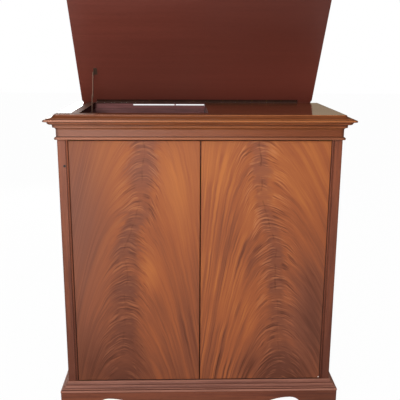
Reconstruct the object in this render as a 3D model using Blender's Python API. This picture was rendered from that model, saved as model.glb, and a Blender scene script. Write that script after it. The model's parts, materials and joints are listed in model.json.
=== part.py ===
"""Phonograph console cabinet: two-door case on a bracket plinth, with a lift-up lid over the record well.

Metres, +Z up. The front faces -Y, the floor is Z = 0, and the origin lies under the middle of the
cabinet as it stands with its lid open on the stay and its doors shut.
"""

import math

import bmesh
import bpy

# Running gap between pieces that touch
GAP = 0.0003

# Case
CASE_WIDTH = 0.824
CASE_DEPTH = 0.401
OPENING_HEIGHT = 0.764
SIDE_THICKNESS = 0.030
BOARD = 0.019
LINING = 0.012
BACK_THICKNESS = 0.006
FRONT_RAIL_THICKNESS = 0.012
FRONT_RAIL_DROP = 0.018
FRONT_RAIL_NOTCH = 0.030
BEAD_WIDTH = 0.005
QUIRK_WIDTH = 0.0025
QUIRK_DEPTH = 0.0025

# Plinth and base moulding
PLINTH_HEIGHT = 0.086
PLINTH_REACH = 0.022
PLINTH_THICKNESS = 0.020
FOOT_LENGTH = 0.112
FOOT_TAPER = 0.009
FOOT_CURVE_LENGTH = 0.036
FOOT_CURVE_HEIGHT = 0.030
ARCH_HEIGHT = 0.064
APRON_RAMP = 0.087
APRON_CLEARANCE = 0.042
RUNNER_WIDTH = 0.045
RUNNER_HEIGHT = 0.020
BASE_MOULDING_HEIGHT = 0.029
BASE_REACH = 0.023

# Cornice and top board
CORNICE_HEIGHT = 0.073
CORNICE_REACH = 0.0325
CORNICE_DEPTH = 0.019
CORNICE_SEAT = 0.0008
FRIEZE_REACH = 0.002
TOP_THICKNESS = 0.019
TOP_REACH = 0.0055

# Phonograph well
WELL_LEFT_MARGIN = 0.060
WELL_WIDTH = 0.3755
WELL_DEPTH = 0.125
WELL_WALL_DROP = 0.032
CORNER_BLOCK = 0.026
CORNER_BLOCK_DROP = 0.028
SLOT_LENGTH = 0.246
SLOT_DROP = 0.0044
SLOT_HEIGHT = 0.0056
SLOT_WEB = 0.004
SLOT_WEB_FROM_RIGHT = 0.099

# Lid, hinge and stay
LID_WIDTH = 0.7964
LID_DEPTH = 0.404
LID_THICKNESS = 0.019
LID_CORNER_RADIUS = 0.007
LID_SEAT = 0.0006
LID_OPEN_ANGLE = math.radians(54.9)
LID_HINGE_LENGTH = 0.696
LID_HINGE_LEAF = 0.009
LID_HINGE_SHEET = 0.0008
LID_BARREL_RADIUS = 0.0017
LID_OVERHANG = 0.0025
LID_LIP = 0.0022
LID_KNUCKLES = 13
STAY_REACH = 0.131
STAY_DROP = 0.012
STAY_UPPER_LENGTH = 0.075
STAY_LOWER_LENGTH = 0.070
STAY_LEAN = math.radians(15.0)
STAY_BAR_WIDTH = 0.010
STAY_BAR = 0.002
STAY_PLATE = 0.0015
STAY_PLATE_LENGTH = 0.026
STAY_PIN_RADIUS = 0.002

# Doors
DOOR_THICKNESS = 0.019
DOOR_SIDE_GAP = 0.0015
DOOR_MEETING_GAP = 0.003
DOOR_BEVEL = 0.0008
PIVOT_PLATE = 0.0015
PIVOT_PLATE_LENGTH = 0.040
PIVOT_PLATE_WIDTH = 0.011
PIVOT_INSET = 0.010
PIVOT_SETBACK = 0.0055
PIVOT_PIN_RADIUS = 0.0025
PIVOT_PIN_LENGTH = 0.010

# Record storage
RECORD_BAY_HEIGHT = 0.340
SHELF_THICKNESS = 0.016
DIVIDER_THICKNESS = 0.010
DIVIDER_SETBACK = 0.030

# Turntable and its drive
MOTOR_BOARD = 0.012
PLATTER_FROM_WALL = 0.160
PLATTER_RADIUS = 0.127
PLATTER_HEIGHT = 0.026
PLATTER_DISC = 0.004
PLATTER_RIM = 0.005
PLATTER_LIFT = 0.006
MAT_THICKNESS = 0.003
MAT_MARGIN = 0.006
SPINDLE_RADIUS = 0.0036
SPINDLE_RISE = 0.016
SPINDLE_TAIL = 0.014
SPINDLE_COLLAR_RADIUS = 0.010
BEARING_RADIUS = 0.012
BEARING_FLANGE_RADIUS = 0.020
BEARING_FLANGE = 0.004
BEARING_TAIL = 0.010
IDLER_RADIUS = 0.022
IDLER_THICKNESS = 0.006
IDLER_HUB_RADIUS = 0.006
IDLER_AXLE_RADIUS = 0.002
IDLER_ANGLE = math.radians(-38.0)
PULLEY_RADIUS = 0.004
PULLEY_ANGLE = math.radians(95.0)
MOTOR_SHAFT_RADIUS = 0.0025
MOTOR_RADIUS = 0.043
MOTOR_HEIGHT = 0.060
MOTOR_SOCKET = 0.014
SHAFT_HOLE_RADIUS = 0.008

# Tonearm
ARM_FROM_RIGHT_WALL = 0.060
ARM_FROM_REAR_WALL = 0.075
ARM_LENGTH = 0.200
ARM_WIDTH = 0.010
ARM_HEIGHT = 0.009
ARM_OVER_MAT = 0.020
ARM_HEAD_LENGTH = 0.040
ARM_HEAD_WIDTH = 0.016
ARM_HEAD_HEIGHT = 0.010
STYLUS_CLEARANCE = 0.002
STYLUS_WIDTH = 0.0012
CARTRIDGE_WIDTH = 0.009
CARTRIDGE_LENGTH = 0.018
CARTRIDGE_HEIGHT = 0.007
COUNTERWEIGHT_RADIUS = 0.013
COUNTERWEIGHT_LENGTH = 0.022
COUNTERWEIGHT_SETBACK = 0.028
ARM_POST_RADIUS = 0.014
YOKE_RADIUS = 0.013
YOKE_BASE = 0.006
YOKE_BASE_DROP = 0.022
YOKE_EAR = 0.003
YOKE_EAR_WIDTH = 0.012
YOKE_PIN_RADIUS = 0.0016
ARM_REST_REACH = 0.120
ARM_REST_RADIUS = 0.004

# Knobs
KNOB_RADIUS = 0.016
KNOB_HEIGHT = 0.018
KNOB_SHAFT_RADIUS = 0.003
KNOB_SHAFT_LENGTH = 0.010
KNOB_SPACING = 0.120
SPEED_KNOB_MARGIN = 0.045

# Amplifier and loudspeaker
KNOB_ROOM = 0.026
CONTROL_HEIGHT = 0.200
CONTROL_BOARD = 0.012
KNOB_LINE = 0.080
CHASSIS_WIDTH = 0.260
CHASSIS_DEPTH = 0.180
CHASSIS_HEIGHT = 0.055
TRANSFORMER = 0.070
VALVE_RADIUS = 0.013
VALVE_HEIGHT = 0.075
VALVE_PITCH = 0.040
VALVES = 4
BAFFLE_BOARD = 0.015
CLOTH_THICKNESS = 0.0015
CLOTH_MARGIN = 0.004
SPEAKER_HOLE_RADIUS = 0.128
SPEAKER_FLANGE_RADIUS = 0.150
SPEAKER_FLANGE = 0.004
SPEAKER_DEPTH = 0.125
SPEAKER_MAGNET_RADIUS = 0.065
SPEAKER_MAGNET_DEPTH = 0.040
SPEAKER_WALL = 0.010
CONE_SHEET = 0.0018
CONE_DEPTH = 0.066
DUST_CAP_RADIUS = 0.030

# Back panel
VENT_SLOTS = 9
VENT_ROWS = 2
VENT_WIDTH = 0.008
VENT_HEIGHT = 0.060
VENT_PITCH = 0.032
GLAND_RADIUS = 0.014
GLAND_NECK_RADIUS = 0.008
GLAND_BORE_RADIUS = 0.004
GLAND_FLANGE = 0.006
GLAND_HEIGHT = 0.160
GLAND_FROM_MIDDLE = 0.280

# Positions that follow from the sizes
HALF = CASE_WIDTH / 2
INSIDE = HALF - SIDE_THICKNESS
OPENING_BOTTOM = PLINTH_HEIGHT + BASE_MOULDING_HEIGHT
OPENING_TOP = OPENING_BOTTOM + OPENING_HEIGHT
TOP = OPENING_TOP + CORNICE_HEIGHT
TOP_UNDER = TOP - TOP_THICKNESS

LID_UNDER = LID_SEAT - GAP - LID_BARREL_RADIUS
LID_REAR = -(LID_BARREL_RADIUS + GAP)
LID_REAR_REACH = (
    LID_BARREL_RADIUS
    + GAP
    + LID_REAR * math.cos(LID_OPEN_ANGLE)
    + (LID_UNDER + LID_THICKNESS) * math.sin(LID_OPEN_ANGLE)
)
FRONT = (CORNICE_REACH - CASE_DEPTH - LID_REAR_REACH) / 2
REAR = FRONT + CASE_DEPTH
HINGE_Y = REAR + LID_BARREL_RADIUS + GAP
HINGE_Z = TOP + GAP + LID_BARREL_RADIUS

DOOR_BACK = FRONT + DOOR_THICKNESS
RAIL_FRONT = FRONT + max(DOOR_THICKNESS, CORNICE_DEPTH) + GAP
INSIDE_FRONT = RAIL_FRONT + FRONT_RAIL_THICKNESS + GAP
INSIDE_REAR = REAR - BACK_THICKNESS - GAP

WELL_LEFT = -HALF + WELL_LEFT_MARGIN
WELL_RIGHT = WELL_LEFT + WELL_WIDTH
WELL_FRONT = INSIDE_FRONT + LINING
WELL_REAR = INSIDE_REAR - LINING
MOTOR_Z = TOP - WELL_DEPTH
WALL_BOTTOM = MOTOR_Z - WELL_WALL_DROP

PARTITION_RIGHT = WELL_RIGHT + BOARD
BAY_MIDDLE = (PARTITION_RIGHT + INSIDE) / 2
BAFFLE_FRONT = INSIDE_FRONT + KNOB_ROOM
CONTROL_BOTTOM = TOP_UNDER - GAP - CONTROL_HEIGHT
BAFFLE_BACK = BAFFLE_FRONT + BAFFLE_BOARD
SPEAKER_Z = (OPENING_BOTTOM + CONTROL_BOTTOM) / 2
SHELF_Z = OPENING_BOTTOM + RECORD_BAY_HEIGHT

PLATTER_X = WELL_LEFT + PLATTER_FROM_WALL
PLATTER_Y = (WELL_FRONT + WELL_REAR) / 2
PLATTER_Z = MOTOR_Z + PLATTER_LIFT
DISC_UNDER = PLATTER_Z + PLATTER_HEIGHT - PLATTER_DISC
PLATTER_TOP = PLATTER_Z + PLATTER_HEIGHT
MAT_TOP = PLATTER_TOP + GAP + MAT_THICKNESS
PLATTER_BORE = SPINDLE_RADIUS + GAP
RIM_INSIDE = PLATTER_RADIUS - PLATTER_RIM
IDLER_ORBIT = RIM_INSIDE - IDLER_RADIUS - GAP
IDLER_X = PLATTER_X + IDLER_ORBIT * math.cos(IDLER_ANGLE)
IDLER_Y = PLATTER_Y + IDLER_ORBIT * math.sin(IDLER_ANGLE)
IDLER_LOW = PLATTER_Z + (PLATTER_HEIGHT - PLATTER_DISC - IDLER_THICKNESS) / 2
PULLEY_REACH = IDLER_RADIUS + PULLEY_RADIUS + GAP
PULLEY_X = IDLER_X + PULLEY_REACH * math.cos(PULLEY_ANGLE)
PULLEY_Y = IDLER_Y + PULLEY_REACH * math.sin(PULLEY_ANGLE)

ARM_X = WELL_RIGHT - ARM_FROM_RIGHT_WALL
ARM_Y = WELL_REAR - ARM_FROM_REAR_WALL
ARM_Z = MAT_TOP + ARM_OVER_MAT
YOKE_Z = ARM_Z - YOKE_BASE_DROP

# The stay in the plane across the hinge: lid pivot when open, then the wall pivot down the straight stay
STAY_Y = -STAY_REACH
STAY_Z = LID_UNDER - STAY_DROP
STAY_TOP_Y = HINGE_Y + STAY_Y * math.cos(LID_OPEN_ANGLE) + STAY_Z * math.sin(LID_OPEN_ANGLE)
STAY_TOP_Z = HINGE_Z - STAY_Y * math.sin(LID_OPEN_ANGLE) + STAY_Z * math.cos(LID_OPEN_ANGLE)
STAY_LENGTH = STAY_UPPER_LENGTH + STAY_LOWER_LENGTH
STAY_FOOT_Y = STAY_TOP_Y - STAY_LENGTH * math.sin(STAY_LEAN)
STAY_FOOT_Z = STAY_TOP_Z - STAY_LENGTH * math.cos(STAY_LEAN)
STAY_LOWER_X = WELL_LEFT + STAY_PLATE + 2 * GAP
STAY_UPPER_X = STAY_LOWER_X + STAY_BAR + GAP
STAY_EAR_X = STAY_UPPER_X + STAY_BAR + GAP

PIVOT_X = INSIDE - DOOR_SIDE_GAP - PIVOT_INSET
PIVOT_Y = FRONT + PIVOT_SETBACK
DOOR_BOTTOM = OPENING_BOTTOM + PIVOT_PLATE + 2 * GAP
DOOR_TOP = OPENING_TOP - PIVOT_PLATE - 2 * GAP

# Colour, roughness and metallic value of each material
MATERIALS = {
    "mahogany": ((0.20, 0.075, 0.040), 0.38, 0.0),
    "crotch veneer": ((0.26, 0.105, 0.050), 0.32, 0.0),
    "dark mahogany": ((0.095, 0.024, 0.016), 0.42, 0.0),
    "moulding": ((0.17, 0.060, 0.030), 0.40, 0.0),
    "inner board": ((0.12, 0.048, 0.034), 0.60, 0.0),
    "raw board": ((0.32, 0.20, 0.11), 0.75, 0.0),
    "fibreboard": ((0.16, 0.10, 0.06), 0.85, 0.0),
    "dark brass": ((0.10, 0.060, 0.028), 0.45, 0.9),
    "brass": ((0.55, 0.40, 0.17), 0.35, 1.0),
    "steel": ((0.55, 0.55, 0.56), 0.30, 1.0),
    "painted steel": ((0.10, 0.095, 0.085), 0.50, 0.3),
    "deck enamel": ((0.20, 0.17, 0.13), 0.40, 0.0),
    "rubber": ((0.02, 0.02, 0.02), 0.80, 0.0),
    "bakelite": ((0.045, 0.020, 0.012), 0.30, 0.0),
    "ivory plastic": ((0.70, 0.62, 0.46), 0.40, 0.0),
    "grille cloth": ((0.38, 0.27, 0.14), 0.90, 0.0),
    "cone paper": ((0.035, 0.032, 0.030), 0.90, 0.0),
}


def clear_scene():
    for old in list(bpy.data.objects):
        bpy.data.objects.remove(old, do_unlink=True)


def material(name):
    found = bpy.data.materials.get(name)
    if found:
        return found
    colour, roughness, metallic = MATERIALS[name]
    made = bpy.data.materials.new(name)
    made.use_nodes = True
    shader = made.node_tree.nodes["Principled BSDF"]
    shader.inputs["Base Color"].default_value = (*colour, 1.0)
    shader.inputs["Roughness"].default_value = roughness
    shader.inputs["Metallic"].default_value = metallic
    made.diffuse_color = (*colour, 1.0)
    return made


def axis_empty(name, location, tilt=0.0):
    """An empty on a joint's axis, turned about X by tilt."""
    made = bpy.data.objects.new(name, None)
    made.empty_display_size = 0.02
    made.location = location
    made.rotation_euler = (tilt, 0.0, 0.0)
    bpy.context.scene.collection.objects.link(made)
    return made


def solid(name, points, faces, look, parent=None, smooth=False):
    """A closed mesh object from its points and faces, with its faces turned outwards."""
    mesh = bpy.data.meshes.new(name)
    mesh.from_pydata([tuple(p) for p in points], [], faces)
    work = bmesh.new()
    work.from_mesh(mesh)
    bmesh.ops.recalc_face_normals(work, faces=work.faces)
    work.to_mesh(mesh)
    work.free()
    if smooth:
        mesh.shade_smooth()
        mesh.set_sharp_from_angle(angle=math.radians(40))
    mesh.materials.append(material(look))
    made = bpy.data.objects.new(name, mesh)
    made.parent = parent
    bpy.context.scene.collection.objects.link(made)
    return made


def box_mesh(low, high):
    """Points and faces of a box between two corners."""
    points = [(x, y, z) for z in (low[2], high[2]) for y in (low[1], high[1]) for x in (low[0], high[0])]
    faces = [(0, 2, 3, 1), (4, 5, 7, 6), (0, 1, 5, 4), (2, 6, 7, 3), (0, 4, 6, 2), (1, 3, 7, 5)]
    return points, faces


def board(name, low, high, look, parent=None):
    points, faces = box_mesh(low, high)
    return solid(name, points, faces, look, parent)


def prism(name, outline, axis, start, end, look, parent=None, smooth=False):
    """An outline in the plane across axis (0 = X, 1 = Y, 2 = Z), carried from start to end along it."""
    points = []
    for along in (start, end):
        for u, v in outline:
            point = [u, v]
            point.insert(axis, along)
            points.append(point)
    count = len(outline)
    faces = [tuple(range(count)), tuple(range(2 * count - 1, count - 1, -1))]
    for i in range(count):
        j = (i + 1) % count
        faces.append((i, j, count + j, count + i))
    return solid(name, points, faces, look, parent, smooth)


def turned(name, profile, segments, centre, axis, look, parent=None):
    """A closed profile of (radius, height) points turned about an axis (0 = X, 1 = Y, 2 = Z)."""
    points = []
    rings = []
    for radius, height in profile:
        ring = []
        for k in range(segments if radius > 0 else 1):
            angle = 2 * math.pi * k / segments
            point = [radius * math.cos(angle), radius * math.sin(angle)]
            point.insert(axis, height)
            ring.append(len(points))
            points.append([c + p for c, p in zip(centre, point)])
        rings.append(ring)
    faces = []
    for i, ring in enumerate(rings):
        following = rings[(i + 1) % len(rings)]
        for k in range(segments):
            corners = []
            for index in (
                ring[k % len(ring)],
                ring[(k + 1) % len(ring)],
                following[(k + 1) % len(following)],
                following[k % len(following)],
            ):
                if index not in corners:
                    corners.append(index)
            if len(corners) > 2:
                faces.append(tuple(corners))
    return solid(name, points, faces, look, parent, smooth=True)


def helper(made):
    made.hide_render = True
    made.display_type = "WIRE"
    return made


def combine(target, other, operation):
    """A Boolean on target with other as its hidden operand: DIFFERENCE cuts, UNION joins."""
    helper(other)
    step = target.modifiers.new(f"{operation.lower()} {other.name}", "BOOLEAN")
    step.operation = operation
    step.solver = "EXACT"
    step.object = other


def cut_box(target, label, low, high):
    combine(target, board(f"{target.name}_{label}_cutter", low, high, "raw board"), "DIFFERENCE")


def cut_round(target, label, radius, centre, axis, low, high, segments=20):
    profile = [(0.0, high), (radius, high), (radius, low), (0.0, low)]
    cutter = turned(f"{target.name}_{label}_cutter", profile, segments, centre, axis, "raw board")
    combine(target, cutter, "DIFFERENCE")


def join_box(target, label, low, high, look, parent=None):
    combine(target, board(f"{target.name}_{label}_piece", low, high, look, parent), "UNION")


def arc(centre, radii, start, end, steps):
    """Points on an ellipse from angle start to angle end, in degrees."""
    points = []
    for k in range(steps + 1):
        angle = math.radians(start + (end - start) * k / steps)
        points.append((centre[0] + radii[0] * math.cos(angle), centre[1] + radii[1] * math.sin(angle)))
    return points


def mitred_front(name, profile, look):
    """A profile of (reach, height) carried along the front face, mitred at both corners."""
    points = [(-(HALF + reach), FRONT - reach, height) for reach, height in profile]
    points += [(HALF + reach, FRONT - reach, height) for reach, height in profile]
    return swept(name, points, len(profile), look)


def mitred_side(name, profile, side, look):
    """A profile of (reach, height) carried along one side face, mitred at the front, square at the back."""
    points = [(side * (HALF + reach), FRONT - reach + 2 * GAP, height) for reach, height in profile]
    points += [(side * (HALF + reach), REAR, height) for reach, height in profile]
    return swept(name, points, len(profile), look)


def swept(name, points, count, look):
    faces = [tuple(range(count)), tuple(range(2 * count - 1, count - 1, -1))]
    for i in range(count):
        j = (i + 1) % count
        faces.append((i, j, count + j, count + i))
    return solid(name, points, faces, look)


def make_sides():
    """Sides: boards whose front edges show as posts, with a bead run along the door opening."""
    for word, side in (("left", -1), ("right", 1)):
        radius = BEAD_WIDTH / 2
        quirk = INSIDE + BEAD_WIDTH
        outline = [(INSIDE, REAR)]
        outline += arc((INSIDE + radius, FRONT + radius), (radius, radius), 180, 360, 6)
        quirk_floor = FRONT + radius + QUIRK_DEPTH
        outline += [(quirk, quirk_floor), (quirk + QUIRK_WIDTH, quirk_floor)]
        outline += [(quirk + QUIRK_WIDTH, FRONT), (HALF, FRONT), (HALF, REAR)]
        plan = [(side * x, y) for x, y in outline]
        prism(f"side_{word}", plan, 2, PLINTH_HEIGHT + GAP, OPENING_TOP - GAP, "mahogany")


def make_case_boards():
    inside = INSIDE - GAP
    board(
        "bottom_board",
        (-inside, FRONT + GAP, OPENING_BOTTOM - BOARD),
        (inside, INSIDE_REAR, OPENING_BOTTOM),
        "inner board",
    )
    board(
        "partition",
        (WELL_RIGHT, INSIDE_FRONT, OPENING_BOTTOM + GAP),
        (PARTITION_RIGHT, INSIDE_REAR, TOP_UNDER - GAP),
        "inner board",
    )
    make_front_rail(inside)


def make_front_rail(inside):
    """Rail behind the doors' top edge, notched at both ends where the doors' back corners swing."""
    low, high = OPENING_TOP - FRONT_RAIL_DROP, TOP_UNDER - GAP
    stop = inside - FRONT_RAIL_NOTCH
    outline = [(-inside, OPENING_TOP), (-stop, OPENING_TOP), (-stop, low), (stop, low)]
    outline += [(stop, OPENING_TOP), (inside, OPENING_TOP), (inside, high), (-inside, high)]
    prism("front_rail", outline, 1, RAIL_FRONT, RAIL_FRONT + FRONT_RAIL_THICKNESS, "inner board")


def make_back_panel():
    inside = INSIDE - GAP
    panel = board(
        "back_panel",
        (-inside, REAR - BACK_THICKNESS, PLINTH_HEIGHT + GAP),
        (inside, REAR, TOP_UNDER - GAP),
        "fibreboard",
    )
    first = BAY_MIDDLE - VENT_PITCH * (VENT_SLOTS - 1) / 2
    for row in range(VENT_ROWS):
        middle = CONTROL_BOTTOM + (row + 0.5) * CONTROL_HEIGHT / VENT_ROWS
        for k in range(VENT_SLOTS):
            x = first + VENT_PITCH * k
            cut_box(
                panel,
                f"vent_{row}_{k}",
                (x - VENT_WIDTH / 2, REAR - 2 * BACK_THICKNESS, middle - VENT_HEIGHT / 2),
                (x + VENT_WIDTH / 2, REAR + BACK_THICKNESS, middle + VENT_HEIGHT / 2),
            )
    gland = (GLAND_FROM_MIDDLE, 0.0, GLAND_HEIGHT)
    cut_round(
        panel, "gland", GLAND_NECK_RADIUS + GAP, gland, 1, REAR - 2 * BACK_THICKNESS, REAR + BACK_THICKNESS
    )
    outside = REAR + GAP
    profile = [
        (GLAND_BORE_RADIUS, REAR - BACK_THICKNESS),
        (GLAND_NECK_RADIUS, REAR - BACK_THICKNESS),
        (GLAND_NECK_RADIUS, outside),
        (GLAND_RADIUS, outside),
        (GLAND_RADIUS, outside + GLAND_FLANGE / 2),
        (GLAND_NECK_RADIUS, outside + GLAND_FLANGE),
        (GLAND_BORE_RADIUS, outside + GLAND_FLANGE),
    ]
    turned("mains_gland", profile, 20, gland, 1, "rubber")


def cornice_profile(depth):
    """The cornice from the top board's edge over cove, nose, ovolo, fillet, cove, frieze and bead to its back."""
    edge = TOP_REACH + GAP
    nose = CORNICE_REACH
    high = TOP
    low = OPENING_TOP
    points = [(edge, high)]
    points += arc((nose - 0.0045, high - 0.0005), (nose - 0.0055 - edge, 0.0115), 180, 270, 6)
    points += arc((nose - 0.0028, high - 0.0156), (0.0028, 0.0030), 90, -90, 6)
    points += arc((0.012, high - 0.0205), (nose - 0.022, 0.0075), 0, -90, 5)
    points += [(0.0105, high - 0.0285), (0.0098, low + 0.0370)]
    points += arc((0.0095, low + 0.0300), (0.0095 - FRIEZE_REACH, 0.0065), 90, 180, 4)
    points += [(FRIEZE_REACH, low + 0.0092)]
    points += arc((0.0035, low + 0.0048), (0.0035, 0.0040), 90, -90, 6)
    points += [(-depth, low + CORNICE_SEAT), (-depth, TOP_UNDER - GAP)]
    points.append((edge, TOP_UNDER - GAP))
    return points


def base_profile():
    """The base moulding from its bead at the case down over a hollow to its lower nose."""
    low = PLINTH_HEIGHT + GAP
    high = OPENING_BOTTOM
    points = [(GAP, low), (BASE_REACH, low), (BASE_REACH, low + 0.0040)]
    points += [(BASE_REACH - 0.0015, low + 0.0055), (BASE_REACH - 0.0050, low + 0.0058)]
    points += [(BASE_REACH - 0.0052, low + 0.0090)]
    points += arc((BASE_REACH - 0.0055, high - 0.0098), (0.0105, 0.0095), 270, 180, 5)
    points += [(0.0060, high - 0.0092)]
    points += arc((0.0018, high - 0.0046), (0.0042, 0.0046), 0, 90, 5)
    points += [(GAP, high)]
    return points


def make_mouldings():
    mitred_front("cornice_front", cornice_profile(CORNICE_DEPTH), "moulding")
    profile = cornice_profile(SIDE_THICKNESS)
    mitred_side("cornice_left", profile, -1, "moulding")
    mitred_side("cornice_right", profile, 1, "moulding")
    profile = base_profile()
    mitred_front("base_moulding_front", profile, "moulding")
    mitred_side("base_moulding_left", profile, -1, "moulding")
    mitred_side("base_moulding_right", profile, 1, "moulding")


def bracket_edge(half):
    """Lower edge of a bracket plinth board from its left end to its right: foot, arch, apron, arch, foot."""
    room = half - FOOT_LENGTH - FOOT_CURVE_LENGTH
    ramp = min(APRON_RAMP, 0.7 * room)
    crown = half - FOOT_LENGTH - FOOT_CURVE_LENGTH
    left = [(-half, 0.0), (-half + FOOT_LENGTH - FOOT_TAPER, 0.0)]
    left += arc((-crown, ARCH_HEIGHT - FOOT_CURVE_HEIGHT), (FOOT_CURVE_LENGTH, FOOT_CURVE_HEIGHT), 180, 90, 6)
    for k in range(1, 7):
        share = k / 6
        left.append((-crown + ramp * share, ARCH_HEIGHT - (ARCH_HEIGHT - APRON_CLEARANCE) * share * share))
    return left + [(-x, z) for x, z in reversed(left)]


def plinth_board(name, edge, top, place, mitres):
    """A plinth board from its lower edge; place(x, depth, z) puts a point, mitres names the cut ends."""
    outline = edge + [(edge[-1][0], top), (edge[0][0], top)]
    ends = (edge[0][0], edge[-1][0])
    points = []
    for depth in (0.0, PLINTH_THICKNESS):
        for x, z in outline:
            if x == ends[0] and mitres[0]:
                x += depth
            elif x == ends[1] and mitres[1]:
                x -= depth
            points.append(place(x, depth, z))
    return swept(name, points, len(outline), "mahogany")


def make_plinth():
    outer = HALF + PLINTH_REACH
    face = FRONT - PLINTH_REACH
    plinth_board(
        "plinth_front",
        bracket_edge(outer),
        PLINTH_HEIGHT,
        lambda x, depth, z: (x, face + depth, z),
        (True, True),
    )
    half = (REAR - face) / 2
    middle = (REAR + face) / 2 + 2 * GAP
    for word, side in (("left", -1), ("right", 1)):
        plinth_board(
            f"plinth_{word}",
            bracket_edge(half),
            PLINTH_HEIGHT,
            lambda x, depth, z, side=side: (side * (outer - depth), middle + x, z),
            (True, False),
        )
        near = outer - PLINTH_THICKNESS - GAP
        ends = sorted((side * near, side * (near - RUNNER_WIDTH)))
        board(
            f"base_runner_{word}",
            (ends[0], face + PLINTH_THICKNESS + GAP, PLINTH_HEIGHT - RUNNER_HEIGHT),
            (ends[1], REAR, PLINTH_HEIGHT),
            "raw board",
        )


def make_top():
    top = board(
        "top_board",
        (-(HALF + TOP_REACH), FRONT - TOP_REACH, TOP_UNDER),
        (HALF + TOP_REACH, REAR, TOP),
        "mahogany",
    )
    cut_box(
        top,
        "well",
        (WELL_LEFT, WELL_FRONT, TOP_UNDER - BOARD),
        (WELL_RIGHT, WELL_REAR, TOP + BOARD),
    )
    web_right = WELL_RIGHT - SLOT_WEB_FROM_RIGHT
    for low, high in ((WELL_RIGHT - SLOT_LENGTH, web_right - SLOT_WEB), (web_right, WELL_RIGHT)):
        cut_box(
            top,
            "slot",
            (low, WELL_REAR - BOARD, TOP - SLOT_DROP - SLOT_HEIGHT),
            (high, REAR + BOARD, TOP - SLOT_DROP),
        )


def make_well():
    high = TOP_UNDER - GAP
    board(
        "well_wall_left",
        (WELL_LEFT - LINING, WELL_FRONT + GAP, WALL_BOTTOM),
        (WELL_LEFT, INSIDE_REAR, high),
        "inner board",
    )
    board(
        "well_wall_front",
        (-INSIDE + GAP, INSIDE_FRONT, WALL_BOTTOM),
        (WELL_RIGHT - GAP, WELL_FRONT, high),
        "inner board",
    )
    board(
        "well_wall_rear",
        (WELL_LEFT + GAP, WELL_REAR, WALL_BOTTOM),
        (WELL_RIGHT - GAP, INSIDE_REAR, high),
        "inner board",
    )
    board(
        "well_corner_block",
        (WELL_RIGHT - CORNER_BLOCK, WELL_REAR - CORNER_BLOCK, MOTOR_Z + GAP),
        (WELL_RIGHT - GAP, WELL_REAR - GAP, TOP - CORNER_BLOCK_DROP),
        "inner board",
    )
    deck = board(
        "motor_board",
        (WELL_LEFT + GAP, WELL_FRONT + GAP, MOTOR_Z - MOTOR_BOARD),
        (WELL_RIGHT - GAP, WELL_REAR - GAP, MOTOR_Z),
        "deck enamel",
    )
    low = MOTOR_Z - 2 * MOTOR_BOARD
    high = MOTOR_Z + MOTOR_BOARD
    holes = (
        ("bearing", BEARING_RADIUS + GAP, PLATTER_X, PLATTER_Y),
        ("idler", IDLER_AXLE_RADIUS + GAP, IDLER_X, IDLER_Y),
        ("shaft", SHAFT_HOLE_RADIUS, PULLEY_X, PULLEY_Y),
        ("speed", KNOB_SHAFT_RADIUS + GAP, *speed_knob_place()),
    )
    for label, radius, x, y in holes:
        cut_round(deck, label, radius, (x, y, 0.0), 2, low, high)


def make_record_storage():
    inside = -INSIDE + GAP
    right = WELL_RIGHT - GAP
    board(
        "record_shelf",
        (inside, INSIDE_FRONT, SHELF_Z),
        (right, INSIDE_REAR, SHELF_Z + SHELF_THICKNESS),
        "inner board",
    )
    middle = (inside + right) / 2
    board(
        "record_divider",
        (middle - DIVIDER_THICKNESS / 2, INSIDE_FRONT + DIVIDER_SETBACK, OPENING_BOTTOM + GAP),
        (middle + DIVIDER_THICKNESS / 2, INSIDE_REAR, SHELF_Z - GAP),
        "inner board",
    )


def rounded_rectangle(low, high, radius, steps=4):
    corners = (
        ((high[0] - radius, high[1] - radius), 0),
        ((low[0] + radius, high[1] - radius), 90),
        ((low[0] + radius, low[1] + radius), 180),
        ((high[0] - radius, low[1] + radius), 270),
    )
    points = []
    for centre, start in corners:
        points += arc(centre, (radius, radius), start, start + 90, steps)
    return points


def make_lid():
    """Lid and its hinge leaf, in the frame of the shut lid about the hinge axis, then tilted open.

    A thin lip on the lid's rear edge hangs over the hinge's barrel, and past the hinge's ends it is as
    deep as the lid's edge, so that no light shows under the open lid.
    """
    axis = axis_empty("lid_axis", (0.0, HINGE_Y, HINGE_Z), -LID_OPEN_ANGLE)
    outline = rounded_rectangle(
        (-LID_WIDTH / 2, LID_REAR - LID_DEPTH), (LID_WIDTH / 2, LID_REAR), LID_CORNER_RADIUS
    )
    lid = prism("lid_panel", outline, 2, LID_UNDER, LID_UNDER + LID_THICKNESS, "dark mahogany", axis)
    half = LID_HINGE_LENGTH / 2 + GAP
    rebate = board(
        "lid_panel_rebate_cutter",
        (-half, LID_REAR - LID_HINGE_LEAF - GAP, LID_UNDER - LID_THICKNESS),
        (half, -LID_REAR, LID_BARREL_RADIUS + GAP),
        "raw board",
        axis,
    )
    combine(lid, rebate, "DIFFERENCE")
    outer = (LID_WIDTH - LID_CORNER_RADIUS) / 2
    barrel_top = LID_BARREL_RADIUS + GAP
    rear = LID_REAR - LID_HINGE_LEAF / 2
    for label, left, right, low in (
        ("left_tongue", -outer, -half, LID_UNDER),
        ("lip", -half, half, barrel_top),
        ("right_tongue", half, outer, LID_UNDER),
    ):
        join_box(
            lid,
            label,
            (left, rear, low),
            (right, LID_OVERHANG, barrel_top + LID_LIP),
            "dark mahogany",
            axis,
        )
    hinge_leaf("lid_hinge_upper_leaf", 1, 1, axis)
    make_stay_bracket(axis)


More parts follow.
